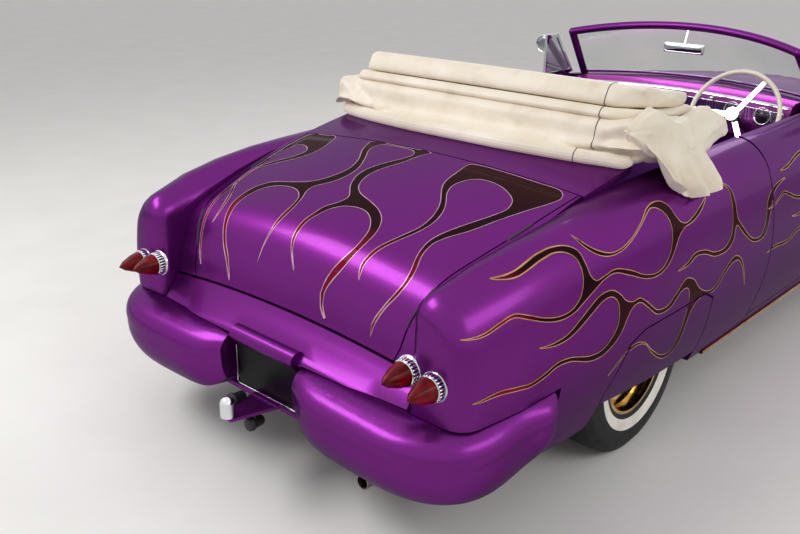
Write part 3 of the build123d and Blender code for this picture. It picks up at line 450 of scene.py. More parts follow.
def smoothing():
    """A modifier that joins a panel's facets into one surface and keeps only its real edges sharp."""
    group = bpy.data.node_groups.new("smooth_panel", "GeometryNodeTree")
    group.interface.new_socket("Geometry", in_out="INPUT", socket_type="NodeSocketGeometry")
    group.interface.new_socket("Geometry", in_out="OUTPUT", socket_type="NodeSocketGeometry")
    start = group.nodes.new("NodeGroupInput")
    join = group.nodes.new("GeometryNodeMergeByDistance")
    join.inputs["Distance"].default_value = JOIN_DISTANCE
    angle = group.nodes.new("GeometryNodeInputMeshEdgeAngle")
    sharp = group.nodes.new("FunctionNodeCompare")
    sharp.data_type, sharp.operation = "FLOAT", "GREATER_THAN"
    sharp.inputs[1].default_value = EDGE_ANGLE
    normal = group.nodes.new("GeometryNodeSetMeshNormal")
    normal.mode = "SHARPNESS"
    end = group.nodes.new("NodeGroupOutput")
    group.links.new(start.outputs[0], join.inputs[0])
    group.links.new(angle.outputs["Unsigned Angle"], sharp.inputs[0])
    group.links.new(join.outputs[0], normal.inputs["Mesh"])
    group.links.new(sharp.outputs[0], normal.inputs["Edge Sharpness"])
    group.links.new(normal.outputs[0], end.inputs[0])
    return group


SMOOTH = smoothing()
for name, node in nodes.items():
    material = FINISHES.get(name, PURPLE)
    if not node.material_slots:
        node.data.materials.append(material)
    for slot in node.material_slots:
        slot.material = material
    modifier = node.modifiers.new("smooth_panel", "NODES")
    modifier.node_group = SMOOTH


# Flames: traditional licks on the lid and along the flanks, laid on the panels as thin skins of paint

class Panels:
    """Packed panels as one surface, for laying things on.

    Each hit gives the place, a smooth normal and the node.
    """

    def __init__(self, *names):
        points, self.corners, self.normals, self.owners = [], [], [], []
        graph = bpy.context.evaluated_depsgraph_get()
        for name in names:
            shown = nodes[name].evaluated_get(graph)
            mesh = shown.to_mesh()
            mesh.calc_loop_triangles()
            base = len(points)
            points += [v.co.copy() for v in mesh.vertices]
            self.normals += [v.normal.copy() for v in mesh.vertices]
            self.corners += [tuple(base + i for i in t.vertices) for t in mesh.loop_triangles]
            self.owners += [name] * len(mesh.loop_triangles)
            shown.to_mesh_clear()
        self.points = points
        self.tree = BVHTree.FromPolygons(points, self.corners)

    def hit(self, start, direction):
        place, flat, index, _ = self.tree.ray_cast(start, direction)
        if place is None:
            return None
        ring = self.corners[index]
        a, b, c = (self.points[i] for i in ring)
        whole = (b - a).cross(c - a).length
        shares = ((b - place).cross(c - place).length / whole, (c - place).cross(a - place).length / whole,
                  (a - place).cross(b - place).length / whole)
        normal = sum((self.normals[i] * share for i, share in zip(ring, shares)), Vector()).normalized()
        if normal.dot(flat) < 0.9:
            normal = flat
        return place, normal, self.owners[index]


def closed_curve(points, step=0.012):
    """A smooth closed line through points in metres, by centripetal Catmull-Rom spans."""
    points = [Vector(p) for p in points]
    line = []
    count = len(points)
    for i in range(count):
        p0, p1, p2, p3 = (points[(i + k) % count] for k in (-1, 0, 1, 2))
        t0 = 0.0
        t1 = t0 + max((p1 - p0).length, 1e-5) ** 0.5
        t2 = t1 + max((p2 - p1).length, 1e-5) ** 0.5
        t3 = t2 + max((p3 - p2).length, 1e-5) ** 0.5
        spans = max(1, round((p2 - p1).length / step))
        for k in range(spans):
            t = t1 + (t2 - t1) * k / spans
            a1 = p0 * ((t1 - t) / (t1 - t0)) + p1 * ((t - t0) / (t1 - t0))
            a2 = p1 * ((t2 - t) / (t2 - t1)) + p2 * ((t - t1) / (t2 - t1))
            a3 = p2 * ((t3 - t) / (t3 - t2)) + p3 * ((t - t2) / (t3 - t2))
            b1 = a1 * ((t2 - t) / (t2 - t0)) + a2 * ((t - t0) / (t2 - t0))
            b2 = a2 * ((t3 - t) / (t3 - t1)) + a3 * ((t - t1) / (t3 - t1))
            line.append(b1 * ((t2 - t) / (t2 - t1)) + b2 * ((t - t1) / (t2 - t1)))
    return line


def flat_fill(line, cell=0.016):
    """Triangles inside a flat closed line, cut along a square grid so that they can follow a curved panel."""
    bm = bmesh.new()
    verts = [bm.verts.new((p.x, p.y, 0)) for p in line]
    for a, b, c in tessellate_polygon([[Vector((p.x, p.y, 0)) for p in line]]):
        if len({a, b, c}) == 3:
            try:
                bm.faces.new((verts[a], verts[b], verts[c]))
            except ValueError:
                pass
    for axis in (0, 1):
        low = min(p[axis] for p in line)
        high = max(p[axis] for p in line)
        cut = math.floor(low / cell) * cell + cell
        while cut < high:
            place, across = [0, 0, 0], [0, 0, 0]
            place[axis], across[axis] = cut, 1
            bmesh.ops.bisect_plane(bm, geom=bm.verts[:] + bm.edges[:] + bm.faces[:], dist=1e-6,
                                   plane_co=place, plane_no=across)
            cut += cell
    bmesh.ops.triangulate(bm, faces=bm.faces[:])
    return bm


def flat_ribbon(line, width):
    """A thin band along a flat closed line."""
    bm = bmesh.new()
    count = len(line)
    rows = []
    for i, p in enumerate(line):
        ahead = line[(i + 1) % count] - line[i - 1]
        side = Vector((-ahead.y, ahead.x)).normalized() * (width / 2)
        rows.append((bm.verts.new((p.x + side.x, p.y + side.y, 0)),
                     bm.verts.new((p.x - side.x, p.y - side.y, 0))))
    for i in range(count):
        a, b = rows[i], rows[(i + 1) % count]
        bm.faces.new((a[0], a[1], b[1], b[0]))
    return bm


def lay_on(name, flat, panels, lift, material, start, direction):
    """Lays a flat mesh on the panels, and makes one piece for each body that it falls on."""
    groups = {}
    found = {}
    flat.verts.index_update()
    for v in flat.verts:
        found[v.index] = panels.hit(start(v.co.x, v.co.y), direction)
    for face in flat.faces:
        hits = [found[v.index] for v in face.verts]
        if any(h is None for h in hits) or len({h[2] for h in hits}) > 1:
            continue
        body = nodes[hits[0][2]]["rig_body"]
        groups.setdefault(body, []).append([v.index for v in face.verts])
    for body, faces in groups.items():
        used = sorted({i for face in faces for i in face})
        order = {index: k for k, index in enumerate(used)}
        mesh = bpy.data.meshes.new(name)
        points = [found[i][0] + found[i][1] * lift for i in used]
        faces = [[order[i] for i in face] for face in faces]
        mesh.from_pydata(points, [], faces)
        mesh.validate()
        mesh.shade_smooth()
        normals = [found[i][1] for i in used]
        flips = [p for p in mesh.polygons if p.normal.dot(normals[p.vertices[0]]) < 0]
        if len(flips) > len(mesh.polygons) / 2:
            mesh.flip_normals()
        mesh.normals_split_custom_set_from_vertices(normals)
        mesh.materials.append(material)
        piece = bpy.data.objects.new(f"{name}_{body}", mesh)
        scene.collection.objects.link(piece)
        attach(piece, body)
    flat.free()


LID_FLAMES = [
    [(-1609, -231), (-1598, -270), (-1596, -380), (-1597, -520), (-1600, -625), (-1640, -655), (-1685, -645),
     (-1758, -611), (-1860, -564), (-1965, -518), (-2028, -478), (-2075, -460), (-2135, -468), (-2194, -494),
     (-2230, -498), (-2264, -480), (-2285, -447), (-2304, -422), (-2316, -413), (-2306, -409), (-2288, -433),
     (-2264, -465), (-2237, -482), (-2203, -479), (-2165, -463), (-2120, -446), (-2064, -439), (-2009, -453),
     (-1929, -490), (-1856, -526), (-1799, -545), (-1744, -527), (-1698, -460), (-1680, -389), (-1689, -329),
     (-1726, -294), (-1773, -283), (-1821, -301), (-1868, -337), (-1921, -368), (-1981, -382), (-2044, -374),
     (-2112, -347), (-2164, -327), (-2212, -310), (-2242, -305), (-2266, -311), (-2241, -293), (-2202, -298),
     (-2150, -314), (-2087, -338), (-2028, -358), (-1963, -355), (-1891, -327), (-1798, -258), (-1755, -238),
     (-1680, -230)],
    [(-1597, 290), (-1596, 130), (-1598, -30), (-1625, -12), (-1709, 17), (-1781, 54), (-1842, 68),
     (-1913, 45), (-1953, 0), (-1985, -87), (-2013, -153), (-2055, -208), (-2115, -243), (-2171, -253),
     (-2221, -245), (-2261, -225), (-2284, -193), (-2297, -178), (-2309, -182), (-2320, -206),
     (-2311, -172), (-2299, -160), (-2286, -167), (-2267, -186), (-2236, -212), (-2195, -229),
     (-2131, -216), (-2083, -183), (-2045, -131), (-2034, -79), (-2046, -17), (-2080, 22), (-2146, 42),
     (-2198, 44), (-2232, 39), (-2259, 24), (-2287, -14), (-2260, 31), (-2234, 52), (-2193, 62),
     (-2138, 63), (-2075, 55), (-2032, 25), (-1996, 18), (-1925, 78), (-1861, 109), (-1803, 109),
     (-1748, 85), (-1683, 41), (-1639, 25), (-1612, 50), (-1604, 148), (-1612, 225), (-1658, 238),
     (-1739, 189), (-1816, 150), (-1890, 149), (-1940, 174), (-1984, 213), (-2015, 217), (-2068, 190),
     (-2154, 162), (-2214, 162), (-2257, 168), (-2292, 182), (-2257, 172), (-2198, 176), (-2114, 190),
     (-2064, 212), (-2028, 264), (-2021, 338), (-2043, 405), (-2087, 438), (-2152, 443), (-2213, 430),
     (-2250, 411), (-2277, 384), (-2299, 345), (-2320, 318), (-2301, 357), (-2280, 398), (-2248, 432),
     (-2208, 456), (-2143, 477), (-2068, 475), (-2014, 432), (-1984, 325), (-1953, 250), (-1892, 203),
     (-1828, 186), (-1757, 209), (-1678, 264), (-1615, 291)],
    [(-1597, 655), (-1596, 580), (-1598, 505), (-1658, 477), (-1735, 462), (-1813, 490), (-1890, 568),
     (-1954, 620), (-2043, 602), (-2166, 509), (-2222, 492), (-2253, 500), (-2214, 501), (-2147, 535),
     (-2047, 612), (-1960, 632), (-1876, 592), (-1809, 530), (-1757, 517), (-1717, 560), (-1712, 620),
     (-1780, 640), (-1890, 626), (-2040, 600), (-2150, 575), (-2220, 556), (-2262, 541), (-2298, 521),
     (-2314, 502), (-2299, 529), (-2262, 553), (-2220, 568), (-2150, 588), (-2040, 614), (-1890, 641),
     (-1780, 658), (-1690, 668)],
]
FLANK_FLAMES = [
    [(-2206, 931), (-2165, 936), (-2120, 942), (-2062, 955), (-2008, 967), (-1950, 973), (-1892, 969),
     (-1862, 953), (-1854, 917), (-1844, 878), (-1818, 854), (-1768, 858), (-1709, 864), (-1626, 841),
     (-1537, 804), (-1455, 791), (-1391, 809), (-1347, 851), (-1325, 906), (-1334, 955), (-1360, 982),
     (-1395, 990), (-1451, 977), (-1515, 954), (-1600, 924), (-1668, 909), (-1738, 911), (-1794, 931),
     (-1829, 959), (-1840, 988), (-1820, 966), (-1787, 942), (-1721, 918), (-1665, 917), (-1586, 934),
     (-1501, 964), (-1427, 991), (-1364, 1001), (-1315, 996), (-1292, 978), (-1282, 950), (-1258, 923),
     (-1217, 909), (-1164, 918), (-1088, 943), (-1030, 962), (-1088, 927), (-1164, 903), (-1235, 895),
     (-1286, 872), (-1323, 837), (-1372, 800), (-1439, 780), (-1522, 786), (-1628, 824), (-1712, 852),
     (-1776, 846), (-1829, 828), (-1885, 806), (-1940, 785), (-2014, 779), (-2080, 792), (-2151, 818),
     (-2198, 833), (-2250, 820), (-2306, 804), (-2373, 803), (-2304, 812), (-2248, 830), (-2194, 843),
     (-2148, 830), (-2078, 804), (-2012, 792), (-1951, 798), (-1906, 824), (-1884, 863), (-1880, 908),
     (-1887, 938), (-1912, 955), (-1954, 961), (-2015, 953), (-2068, 941), (-2127, 929), (-2173, 928)],
    [(-2114, 720), (-2050, 716), (-1982, 726), (-1917, 754), (-1862, 780), (-1805, 803), (-1740, 803),
     (-1694, 779), (-1660, 748), (-1620, 732), (-1572, 732), (-1522, 703), (-1446, 653), (-1373, 648),
     (-1307, 682), (-1243, 712), (-1181, 693), (-1130, 648), (-1067, 615), (-1009, 604), (-960, 620),
     (-900, 664), (-822, 692), (-757, 665), (-711, 603), (-670, 526), (-722, 605), (-781, 664), (-839, 668),
     (-901, 642), (-953, 603), (-1003, 590), (-1083, 596), (-1142, 586), (-1169, 556), (-1182, 517),
     (-1190, 452), (-1218, 405), (-1283, 398), (-1404, 461), (-1497, 535), (-1551, 550), (-1627, 537),
     (-1676, 508), (-1716, 486), (-1678, 518), (-1631, 547), (-1572, 562), (-1510, 548), (-1415, 480),
     (-1312, 424), (-1246, 420), (-1220, 475), (-1211, 538), (-1206, 587), (-1204, 636), (-1228, 672),
     (-1277, 672), (-1353, 632), (-1444, 636), (-1520, 685), (-1572, 716), (-1618, 710), (-1647, 684),
     (-1672, 647), (-1711, 613), (-1777, 589), (-1849, 592), (-1964, 629), (-2026, 632), (-2082, 615),
     (-2138, 605), (-2200, 608), (-2267, 614), (-2361, 611), (-2268, 627), (-2202, 621), (-2140, 618),
     (-2084, 629), (-2027, 646), (-1965, 643), (-1854, 613), (-1783, 612), (-1735, 638), (-1705, 673),
     (-1698, 715), (-1708, 756), (-1740, 781), (-1794, 780), (-1850, 758), (-1904, 734), (-1969, 712),
     (-2042, 706)],
    [(-1310, 758), (-1235, 770), (-1174, 790), (-1092, 782), (-1007, 754), (-919, 752), (-862, 786),
     (-838, 858), (-832, 923), (-843, 960), (-885, 985), (-836, 968), (-811, 934), (-800, 888), (-796, 840),
     (-746, 789), (-659, 727), (-570, 722), (-530, 775), (-500, 850), (-425, 892), (-300, 905), (-420, 872),
     (-478, 800), (-531, 712), (-645, 708), (-746, 764), (-812, 812), (-842, 762), (-896, 735),
     (-1006, 737), (-1092, 766), (-1165, 776), (-1225, 759)],
]
FLAME_SHIFT, FLAME_RISE = 1.87, 0.01
STRIPE = 0.0028
PAINT_LIFT, STRIPE_LIFT = 0.0006, 0.001
ABOVE_CAR, BESIDE_CAR = 2.0, 1.4


def flame_paint():
    """Dark candy that reddens towards the tips of the licks, which point to the rear."""
    f = Finish("flame_paint", metallic=0.0, roughness=0.34, Specular_IOR_Level=0.0, Coat_Weight=0.2,
               Coat_Roughness=0.03, Coat_IOR=1.3)
    along = f.math("ADD", f.math("MULTIPLY", f.axes()[0], -1.25), -2.0)
    base = f.ramp(along, (0.0, "30080c"), (0.3, "140507"), (0.62, "1a0508"), (0.78, "97122f"),
                  (0.95, "5c1230"))
    fleck = f.ramp(f.noise(1400, 2.0), (0.35, "050203"), (0.7, "4a0d16"))
    f.colour(f.mix(0.3, base, fleck))
    f.rough(f.noise(60, 2.0), 0.24, 0.34)
    return f.bump(f.noise(160, 2.0), 0.0004, 0.1).material


def stripe_paint(name, dark, bright):
    f = Finish(name, metallic=0.35, roughness=0.3, Coat_Weight=0.2, Coat_Roughness=0.05)
    f.colour(f.ramp(f.noise(25, 4.0), (0.3, dark), (0.7, bright)))
    f.rough(f.noise(80, 3.0), 0.2, 0.4)
    return f.bump(f.noise(500, 2.0), 0.0002, 0.1).material


def metres(points):
    return [(a / 1000, b / 1000) for a, b in points]


def lay_pattern(names, number, line, panels, paints, start, direction):
    """One lick of flame with the thin stripe round it."""
    fill, stripe = paints
    lay_on(f"{names[0]}_{number}", flat_fill(line), panels, PAINT_LIFT, fill, start, direction)
    lay_on(f"{names[1]}_{number}", flat_ribbon(line, STRIPE), panels, STRIPE_LIFT, stripe, start, direction)


def lay_flames():
    fill = flame_paint()
    pale = stripe_paint("pale_stripe", "b07a92", "d6a8ba")
    copper = stripe_paint("copper_stripe", "a87244", "d39c66")
    lid = Panels("boot_lid")
    for number, points in enumerate(LID_FLAMES):
        lay_pattern(("lid_flame", "lid_stripe"), number, closed_curve(metres(points)), lid, (fill, pale),
                    lambda x, y: Vector((x, y, ABOVE_CAR)), Vector((0, 0, -1)))
    licks = [metres(points) for points in FLANK_FLAMES]
    licks += [[(x + FLAME_SHIFT, z + FLAME_RISE) for x, z in points] for points in licks[:2]]
    for side, sign in (("left", 1), ("right", -1)):
        flank = Panels("quarter_panels", "wheel_skirts", f"door_{side}", "front_fenders")
        for number, points in enumerate(licks):
            lay_pattern((f"flank_flame_{side}", f"flank_stripe_{side}"), number, closed_curve(points), flank,
                        (fill, copper), lambda x, z: Vector((x, sign * BESIDE_CAR, z)), Vector((0, -sign, 0)))


lay_flames()


# Cloth and upholstery

def vinyl(name, dark, bright, crease="bfae8c"):
    """Coated cloth: a fine leather grain, soft colour clouds and a little grime in the creases."""
    f = Finish(name, roughness=0.55, Specular_IOR_Level=0.4, Sheen_Weight=0.15)
    base = f.ramp(f.noise(4.5, 5.0), (0.3, dark), (0.7, bright))
    grime = f.ramp(f.noise(11, 8.0), (0.30, 1.0), (0.46, 0.0))
    f.colour(f.mix(f.math("MULTIPLY", grime, 0.22), base, crease))
    f.rough(f.noise(30, 4.0), 0.36, 0.56)
    grain = f.node("ShaderNodeTexVoronoi")
    grain.inputs["Scale"].default_value = 420
    f.link(f.place, grain.inputs["Vector"])
    f.bump(grain.outputs["Distance"], 0.0004, 0.35)
    return f.bump(f.noise(16, 3.0), 0.0012, 0.25).material


ROOF_VINYL = vinyl("roof_vinyl", "e2d5be", "f3eada")
SEAT_VINYL = vinyl("seat_vinyl", "54156e", "7d2f9c", "340a48")
PIPING = vinyl("cream_piping", "d8cbb2", "efe6d4")
THREAD = matt("seam_thread", "3a3026", "564a3a", 300, 0.0002, 0.6, 0.8)


def add_piece(name, points, faces, material, body, level=0, smooth=True):
    """Makes a piece from points and faces; level is how many times its surface is divided and rounded."""
    mesh = bpy.data.meshes.new(name)
    mesh.from_pydata([tuple(p) for p in points], [], faces)
    mesh.validate()
    if smooth:
        mesh.shade_smooth()
    mesh.materials.append(material)
    piece = bpy.data.objects.new(name, mesh)
    scene.collection.objects.link(piece)
    if level:
        rounding = piece.modifiers.new("rounding", "SUBSURF")
        rounding.levels = rounding.render_levels = level
    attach(piece, body)
    return piece


def thin_line(name, places, radius, material, body, order=3, resolution=3):
    """A thin round line that runs smoothly along a list of places."""
    curve = bpy.data.curves.new(name, "CURVE")
    curve.dimensions = "3D"
    curve.bevel_depth = radius
    curve.bevel_resolution = resolution
    spline = curve.splines.new("NURBS")
    spline.points.add(len(places) - 1)
    for point, place in zip(spline.points, places):
        point.co = (*place, 1)
    spline.order_u = order
    spline.use_endpoint_u = True
    curve.materials.append(material)
    line = bpy.data.objects.new(name, curve)
    scene.collection.objects.link(line)
    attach(line, body)


# The order of a grid face's corners: one way round, the other way round, and that again from the first corner
FORWARD, BACKWARD, BACKWARD_FIRST = (0, 1, 2, 3), (3, 2, 1, 0), (0, 3, 2, 1)


def grid_faces(rows, columns, order=FORWARD):
    """The faces between a grid's points, which are listed row by row."""
    faces = []
    for row in range(rows - 1):
        for column in range(columns - 1):
            a = row * columns + column
            corners = (a, a + 1, a + columns + 1, a + columns)
            faces.append(tuple(corners[i] for i in order))
    return faces


def thicken(piece, name, thickness, offset=-1.0):
    """Gives a thin skin its thickness in metres."""
    layer = piece.modifiers.new(name, "SOLIDIFY")
    layer.thickness = thickness
    layer.offset = offset


def bell(value, width):
    """A smooth bump that is 1 at zero and falls off within its width on both sides."""
    return math.exp(-(value / width) ** 2)


def ease(value):
    """Runs from 0 to 1 with a soft start and a soft end."""
    value = max(0.0, min(1.0, value))
    return value * value * (3 - 2 * value)


def swept(name, loops, material, body, level=0):
    """A closed form through closed loops of the same number of points, with a cap at each end."""
    count = len(loops[0])
    points = [p for loop in loops for p in loop]
    faces = []
    for k in range(len(loops) - 1):
        a, b = k * count, (k + 1) * count
        for i in range(count):
            j = (i + 1) % count
            faces.append((a + i, a + j, b + j, b + i))
    for base, turn in ((0, 1), ((len(loops) - 1) * count, -1)):
        middle = sum((points[base + i] for i in range(count)), Vector()) / count
        points.append(middle)
        centre = len(points) - 1
        for i in range(count):
            j = (i + 1) % count
            faces.append((centre, base + j, base + i) if turn > 0 else (centre, base + i, base + j))
    return add_piece(name, points, faces, material, body, level)


BENCH_STEP = 0.0082
CHANNEL_PITCH, CHANNEL_DEPTH = 0.082, 0.011
BENCH_END = 0.05
BENCH_CROWN = 0.012


def bench(name, profile, half, top):
    """A bench cushion across the car with sewn channels: its profile is a closed loop of x and z in metres.

    top(x, z) is how much a point belongs to the pleated side, from 0 to 1.
    """
    loop = closed_curve(profile, 0.022)
    centre = sum(loop, Vector((0, 0))) / len(loop)
    stations = []
    y = -half
    while y < half - 1e-6:
        stations.append(y)
        y += BENCH_STEP
    stations.append(half)
    loops = []
    for y in stations:
        near = half - abs(y)
        pull = 1.0 if near >= BENCH_END else math.sqrt(max(0.0, 1 - (1 - near / BENCH_END) ** 2))
        ring = []
        for p in loop:
            share = top(p.x, p.y)
            channel = abs(math.cos(math.pi * y / CHANNEL_PITCH)) ** 6
            crown = BENCH_CROWN * share * (1 - (y / half) ** 2) - 0.004 * share
            away = (p - centre).normalized()
            shift = away * (crown - CHANNEL_DEPTH * channel * share)
            inset = away * (-(1 - pull) * BENCH_END * 0.8)
            ripple = 0.0012 * noise.noise(Vector((p.x * 9, y * 9, p.y * 9)))
            q = p + shift + inset + away * ripple
            ring.append(Vector((q.x, y, q.y)))
        loops.append(ring)
    return swept(name, loops, SEAT_VINYL, "body", 1)


def make_seats():
    """Two benches with sewn channels, the plinth of the front one, and piping along their backs."""
    outline = [(-0.290, 0.452), (-0.290, 0.545), (-0.05, 0.565), (0.205, 0.577), (0.245, 0.545),
               (0.245, 0.47), (0.20, 0.450)]
    front = bench("front_seat_cushion", outline, 0.632, lambda x, z: 1.0 if z > 0.52 else 0.0)
    outline = [(-0.315, 0.555), (-0.352, 0.75), (-0.365, 0.925), (-0.390, 0.960), (-0.430, 0.952),
               (-0.440, 0.90), (-0.425, 0.65), (-0.405, 0.50), (-0.330, 0.48)]
    front_back = bench("front_seat_back", outline, 0.632, lambda x, z: 1.0 if x > -0.372 else 0.35)
    base = []
    for y in (-0.625, -0.58, -0.30, -0.145, 0.145, 0.30, 0.58, 0.625):
        low = 0.44 if abs(y) < 0.15 else 0.305
        outline = [(-0.37, low), (-0.385, 0.40), (-0.365, 0.446), (0.16, 0.446), (0.21, 0.42), (0.17, low)]
        base.append([Vector((x, y, z)) for x, z in outline])
    plinth = swept("front_seat_base", base, SEAT_VINYL, "body", 0)
    bevel = plinth.modifiers.new("soft_edge", "BEVEL")
    bevel.width, bevel.segments = 0.008, 2
    outline = [(-1.065, 0.565), (-1.062, 0.590), (-0.85, 0.603), (-0.645, 0.592), (-0.605, 0.565),
               (-0.600, 0.47), (-0.625, 0.436), (-0.88, 0.436), (-1.02, 0.545)]
    rear = bench("rear_seat_cushion", outline, 0.572, lambda x, z: 1.0 if z > 0.56 else 0.0)
    outline = [(-1.095, 0.590), (-1.135, 0.80), (-1.145, 0.925), (-1.170, 0.955), (-1.205, 0.945),
               (-1.212, 0.90), (-1.185, 0.70), (-1.175, 0.580)]
    rear_back = bench("rear_seat_back", outline, 0.572, lambda x, z: 1.0 if x > -1.155 else 0.3)
    for piece in (front, front_back, plinth):
        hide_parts("front_seat")
    for piece in (rear, rear_back):
        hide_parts("rear_seat")
    for name, x, z, half in (("front_seat_piping", -0.383, 0.955, 0.60),
                             ("rear_seat_piping", -1.165, 0.951, 0.54)):
        places = []
        for k in range(21):
            y = -half + 2 * half * k / 20
            places.append((x, y, z + 0.006 * (1 - (y / half) ** 2)))
        thin_line(name, places, 0.005, PIPING, "body", order=4)


make_seats()


# The folded roof

def x_base(y):
    """The bowed line that the cloth's tack strip follows on the deck."""
    return -1.455 + 0.125 * (min(abs(y), 0.80) / 0.72) ** 2.2


DECK = Panels("deck_panel", "quarter_panels", "boot_lid")


def deck_height(x, y):
    found = DECK.hit(Vector((x, y, 1.6)), Vector((0, 0, -1)))
    return found[0].z if found else 1.06


def crumple(place, amount):
    """Soft folds in cloth: a few long waves across each other."""
    a = noise.noise(Vector((place.x * 5, place.y * 7, place.z * 6)))
    b = noise.noise(Vector((place.x * 12, place.y * 15, place.z * 12 + 5)))
    ridge = 1 - 2 * abs(noise.noise(Vector((place.x * 6 + 3, place.y * 11, place.z * 8))))
    return amount * (0.9 * a + 0.3 * b + 0.55 * (ridge - 0.55))


def even_loop(points, count=56):
    loop = closed_curve(points, 0.012)
    return [loop[int(i * len(loop) / count)] for i in range(count)]


ROLL_STEP = 0.0125


def roll(name, profile, left, right, calm, mess, taper=0.05, seam_at=-0.575, pinch=None):
    """One long fold of the roof across the car, with a sewn seam round it.

    profile(y) gives its loop of x and z. calm and mess are the depths of its wrinkles in the middle and at
    its ends, and pinch(x, y, z) adds sharper folds.
    """
    loops = []
    count = int((left - right) / ROLL_STEP)
    for k in range(count + 1):
        y = left - (left - right) * k / count
        loop = even_loop(profile(y))
        centre = sum(loop, Vector((0, 0))) / len(loop)
        near = min(left - y, y - right)
        pull = 1.0 if near >= taper else math.sqrt(max(0.0, 1 - (1 - near / taper) ** 2))
        wild = max(0.0, min(1.0, (abs(y) - 0.46) / 0.3)) ** 1.5
        ring = []
        for p in loop:
            q = centre + (p - centre) * (0.3 + 0.7 * pull)
            q.y -= 0.045 * ease((y - 0.74) / 0.09) if pinch else 0.0
            place = Vector((q.x, y, q.y))
            away = (p - centre).normalized()
            depth = crumple(place, calm + (mess - calm) * wild) + (pinch(q.x, y, q.y) if pinch else 0.0)
            swing = 0.018 * wild * noise.noise(Vector((q.x * 8, 2.0, q.y * 9)))
            ring.append(Vector((q.x + away.x * depth, y + swing, q.y + away.y * depth)))
        loops.append(ring)
    ring = loops[round((left - seam_at) / (left - right) * count)]
    start = max(range(len(ring)), key=lambda i: ring[i].x)
    sewn = [p for p in ring[start:] + ring[:start] if p.x < -1.02]
    thin_line(name + "_seam", sewn, 0.0017, THREAD, "body", resolution=2)
    piece = swept(name, loops, ROOF_VINYL, "body", 1)
    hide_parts("folded_top")


def make_roof():
    """The folded roof's three rolls, and the strip that holds its cloth to the body behind the seat."""
    def forward(y):
        return 0.085 * ease((-0.59 - y) / 0.13)

    def top(y):
        lift = 0.006 * math.cos(y * 1.6)
        f = forward(y)
        return [(-1.272 + f, 1.290 + lift), (-1.262 + 0.8 * f, 1.328 + lift),
                (-1.236 + 0.25 * f, 1.358 + lift), (-1.205, 1.361 + lift), (-1.10, 1.342), (-0.95, 1.322),
                (-0.872, 1.298), (-0.868, 1.276), (-0.91, 1.266), (-1.05, 1.270), (-1.20 + f, 1.281)]

    def middle(y):
        f = 0.9 * forward(y + 0.01)
        return [(-1.302 + f, 1.252), (-1.300 + f, 1.272), (-1.280 + f, 1.287), (-1.23 + 0.5 * f, 1.280),
                (-1.05, 1.268), (-0.87, 1.262), (-0.835, 1.248), (-0.838, 1.232), (-0.88, 1.226),
                (-1.10, 1.236), (-1.27 + 0.8 * f, 1.243)]

    def lower(y):
        x = x_base(y)
        z = deck_height(x, max(-0.70, min(0.70, y)))
        side = ease((abs(y) - 0.5) / 0.2)
        return [(x + 0.028, z + 0.036), (x + 0.062, z + 0.036 + 0.02 * side),
                (-1.352 - 0.01 * side, 1.146 + 0.02 * side), (-1.330, 1.176), (-1.326, 1.208),
                (-1.318, 1.234), (-1.295, 1.249), (-1.22, 1.246), (-1.0, 1.232), (-0.84, 1.215),
                (-0.805, 1.18), (-0.80, 1.13), (-0.86, 1.100), (-1.0, 1.098), (-1.262, 1.100),
                (-1.29, 1.118), (x + 0.09, z + 0.012), (x + 0.05, z + 0.010)]

    def strip(y):
        x = x_base(y)
        z = deck_height(x, max(-0.70, min(0.70, y)))
        return [(x, z + 0.0015), (x - 0.004, z + 0.020), (x + 0.006, z + 0.041), (x + 0.020, z + 0.049),
                (x + 0.036, z + 0.045), (x + 0.044, z + 0.022), (x + 0.046, z + 0.004),
                (x + 0.02, z + 0.0015)]

    def folds(x, y, z):
        depth = 0.0
        if y < -0.5:
            pull = ease((-0.56 - y) / 0.08)
            across_fold = (z - 1.20) + 0.42 * (y + 0.60)
            depth += pull * (0.020 * bell(across_fold, 0.016) - 0.016 * bell(across_fold + 0.035, 0.014))
            depth += 0.016 * bell(y + 0.655, 0.022) * bell(z - 1.150, 0.022) \
                - 0.010 * bell(y + 0.615, 0.016) * bell(z - 1.16, 0.03)
        if y > 0.4:
            pull = ease((y - 0.52) / 0.1)
            slant = (z - 1.18) - 0.5 * (y - 0.66)
            depth += pull * (0.020 * bell(slant, 0.020) - 0.022 * bell(slant - 0.042, 0.014))
            depth += 0.012 * bell(y - 0.50, 0.02) * bell(z - 1.13, 0.03) \
                - 0.01 * bell(y - 0.46, 0.012) * bell(z - 1.13, 0.03)
        depth += 0.007 * bell(y + 0.405, 0.02) * bell(z - 1.165, 0.012) \
            - 0.005 * bell(y + 0.43, 0.03) * bell(z - 1.185, 0.012)
        return depth

    roll("roof_fold_top", top, 0.655, -0.722, 0.0012, 0.004, 0.012)
    roll("roof_fold_middle", middle, 0.695, -0.735, 0.002, 0.008, 0.03, -0.572)
    roll("roof_fold_lower", lower, 0.832, -0.775, 0.004, 0.018, 0.075, -0.568, folds)
    roll("roof_tack_strip", strip, 0.775, -0.722, 0.0004, 0.001, 0.025, -0.530)


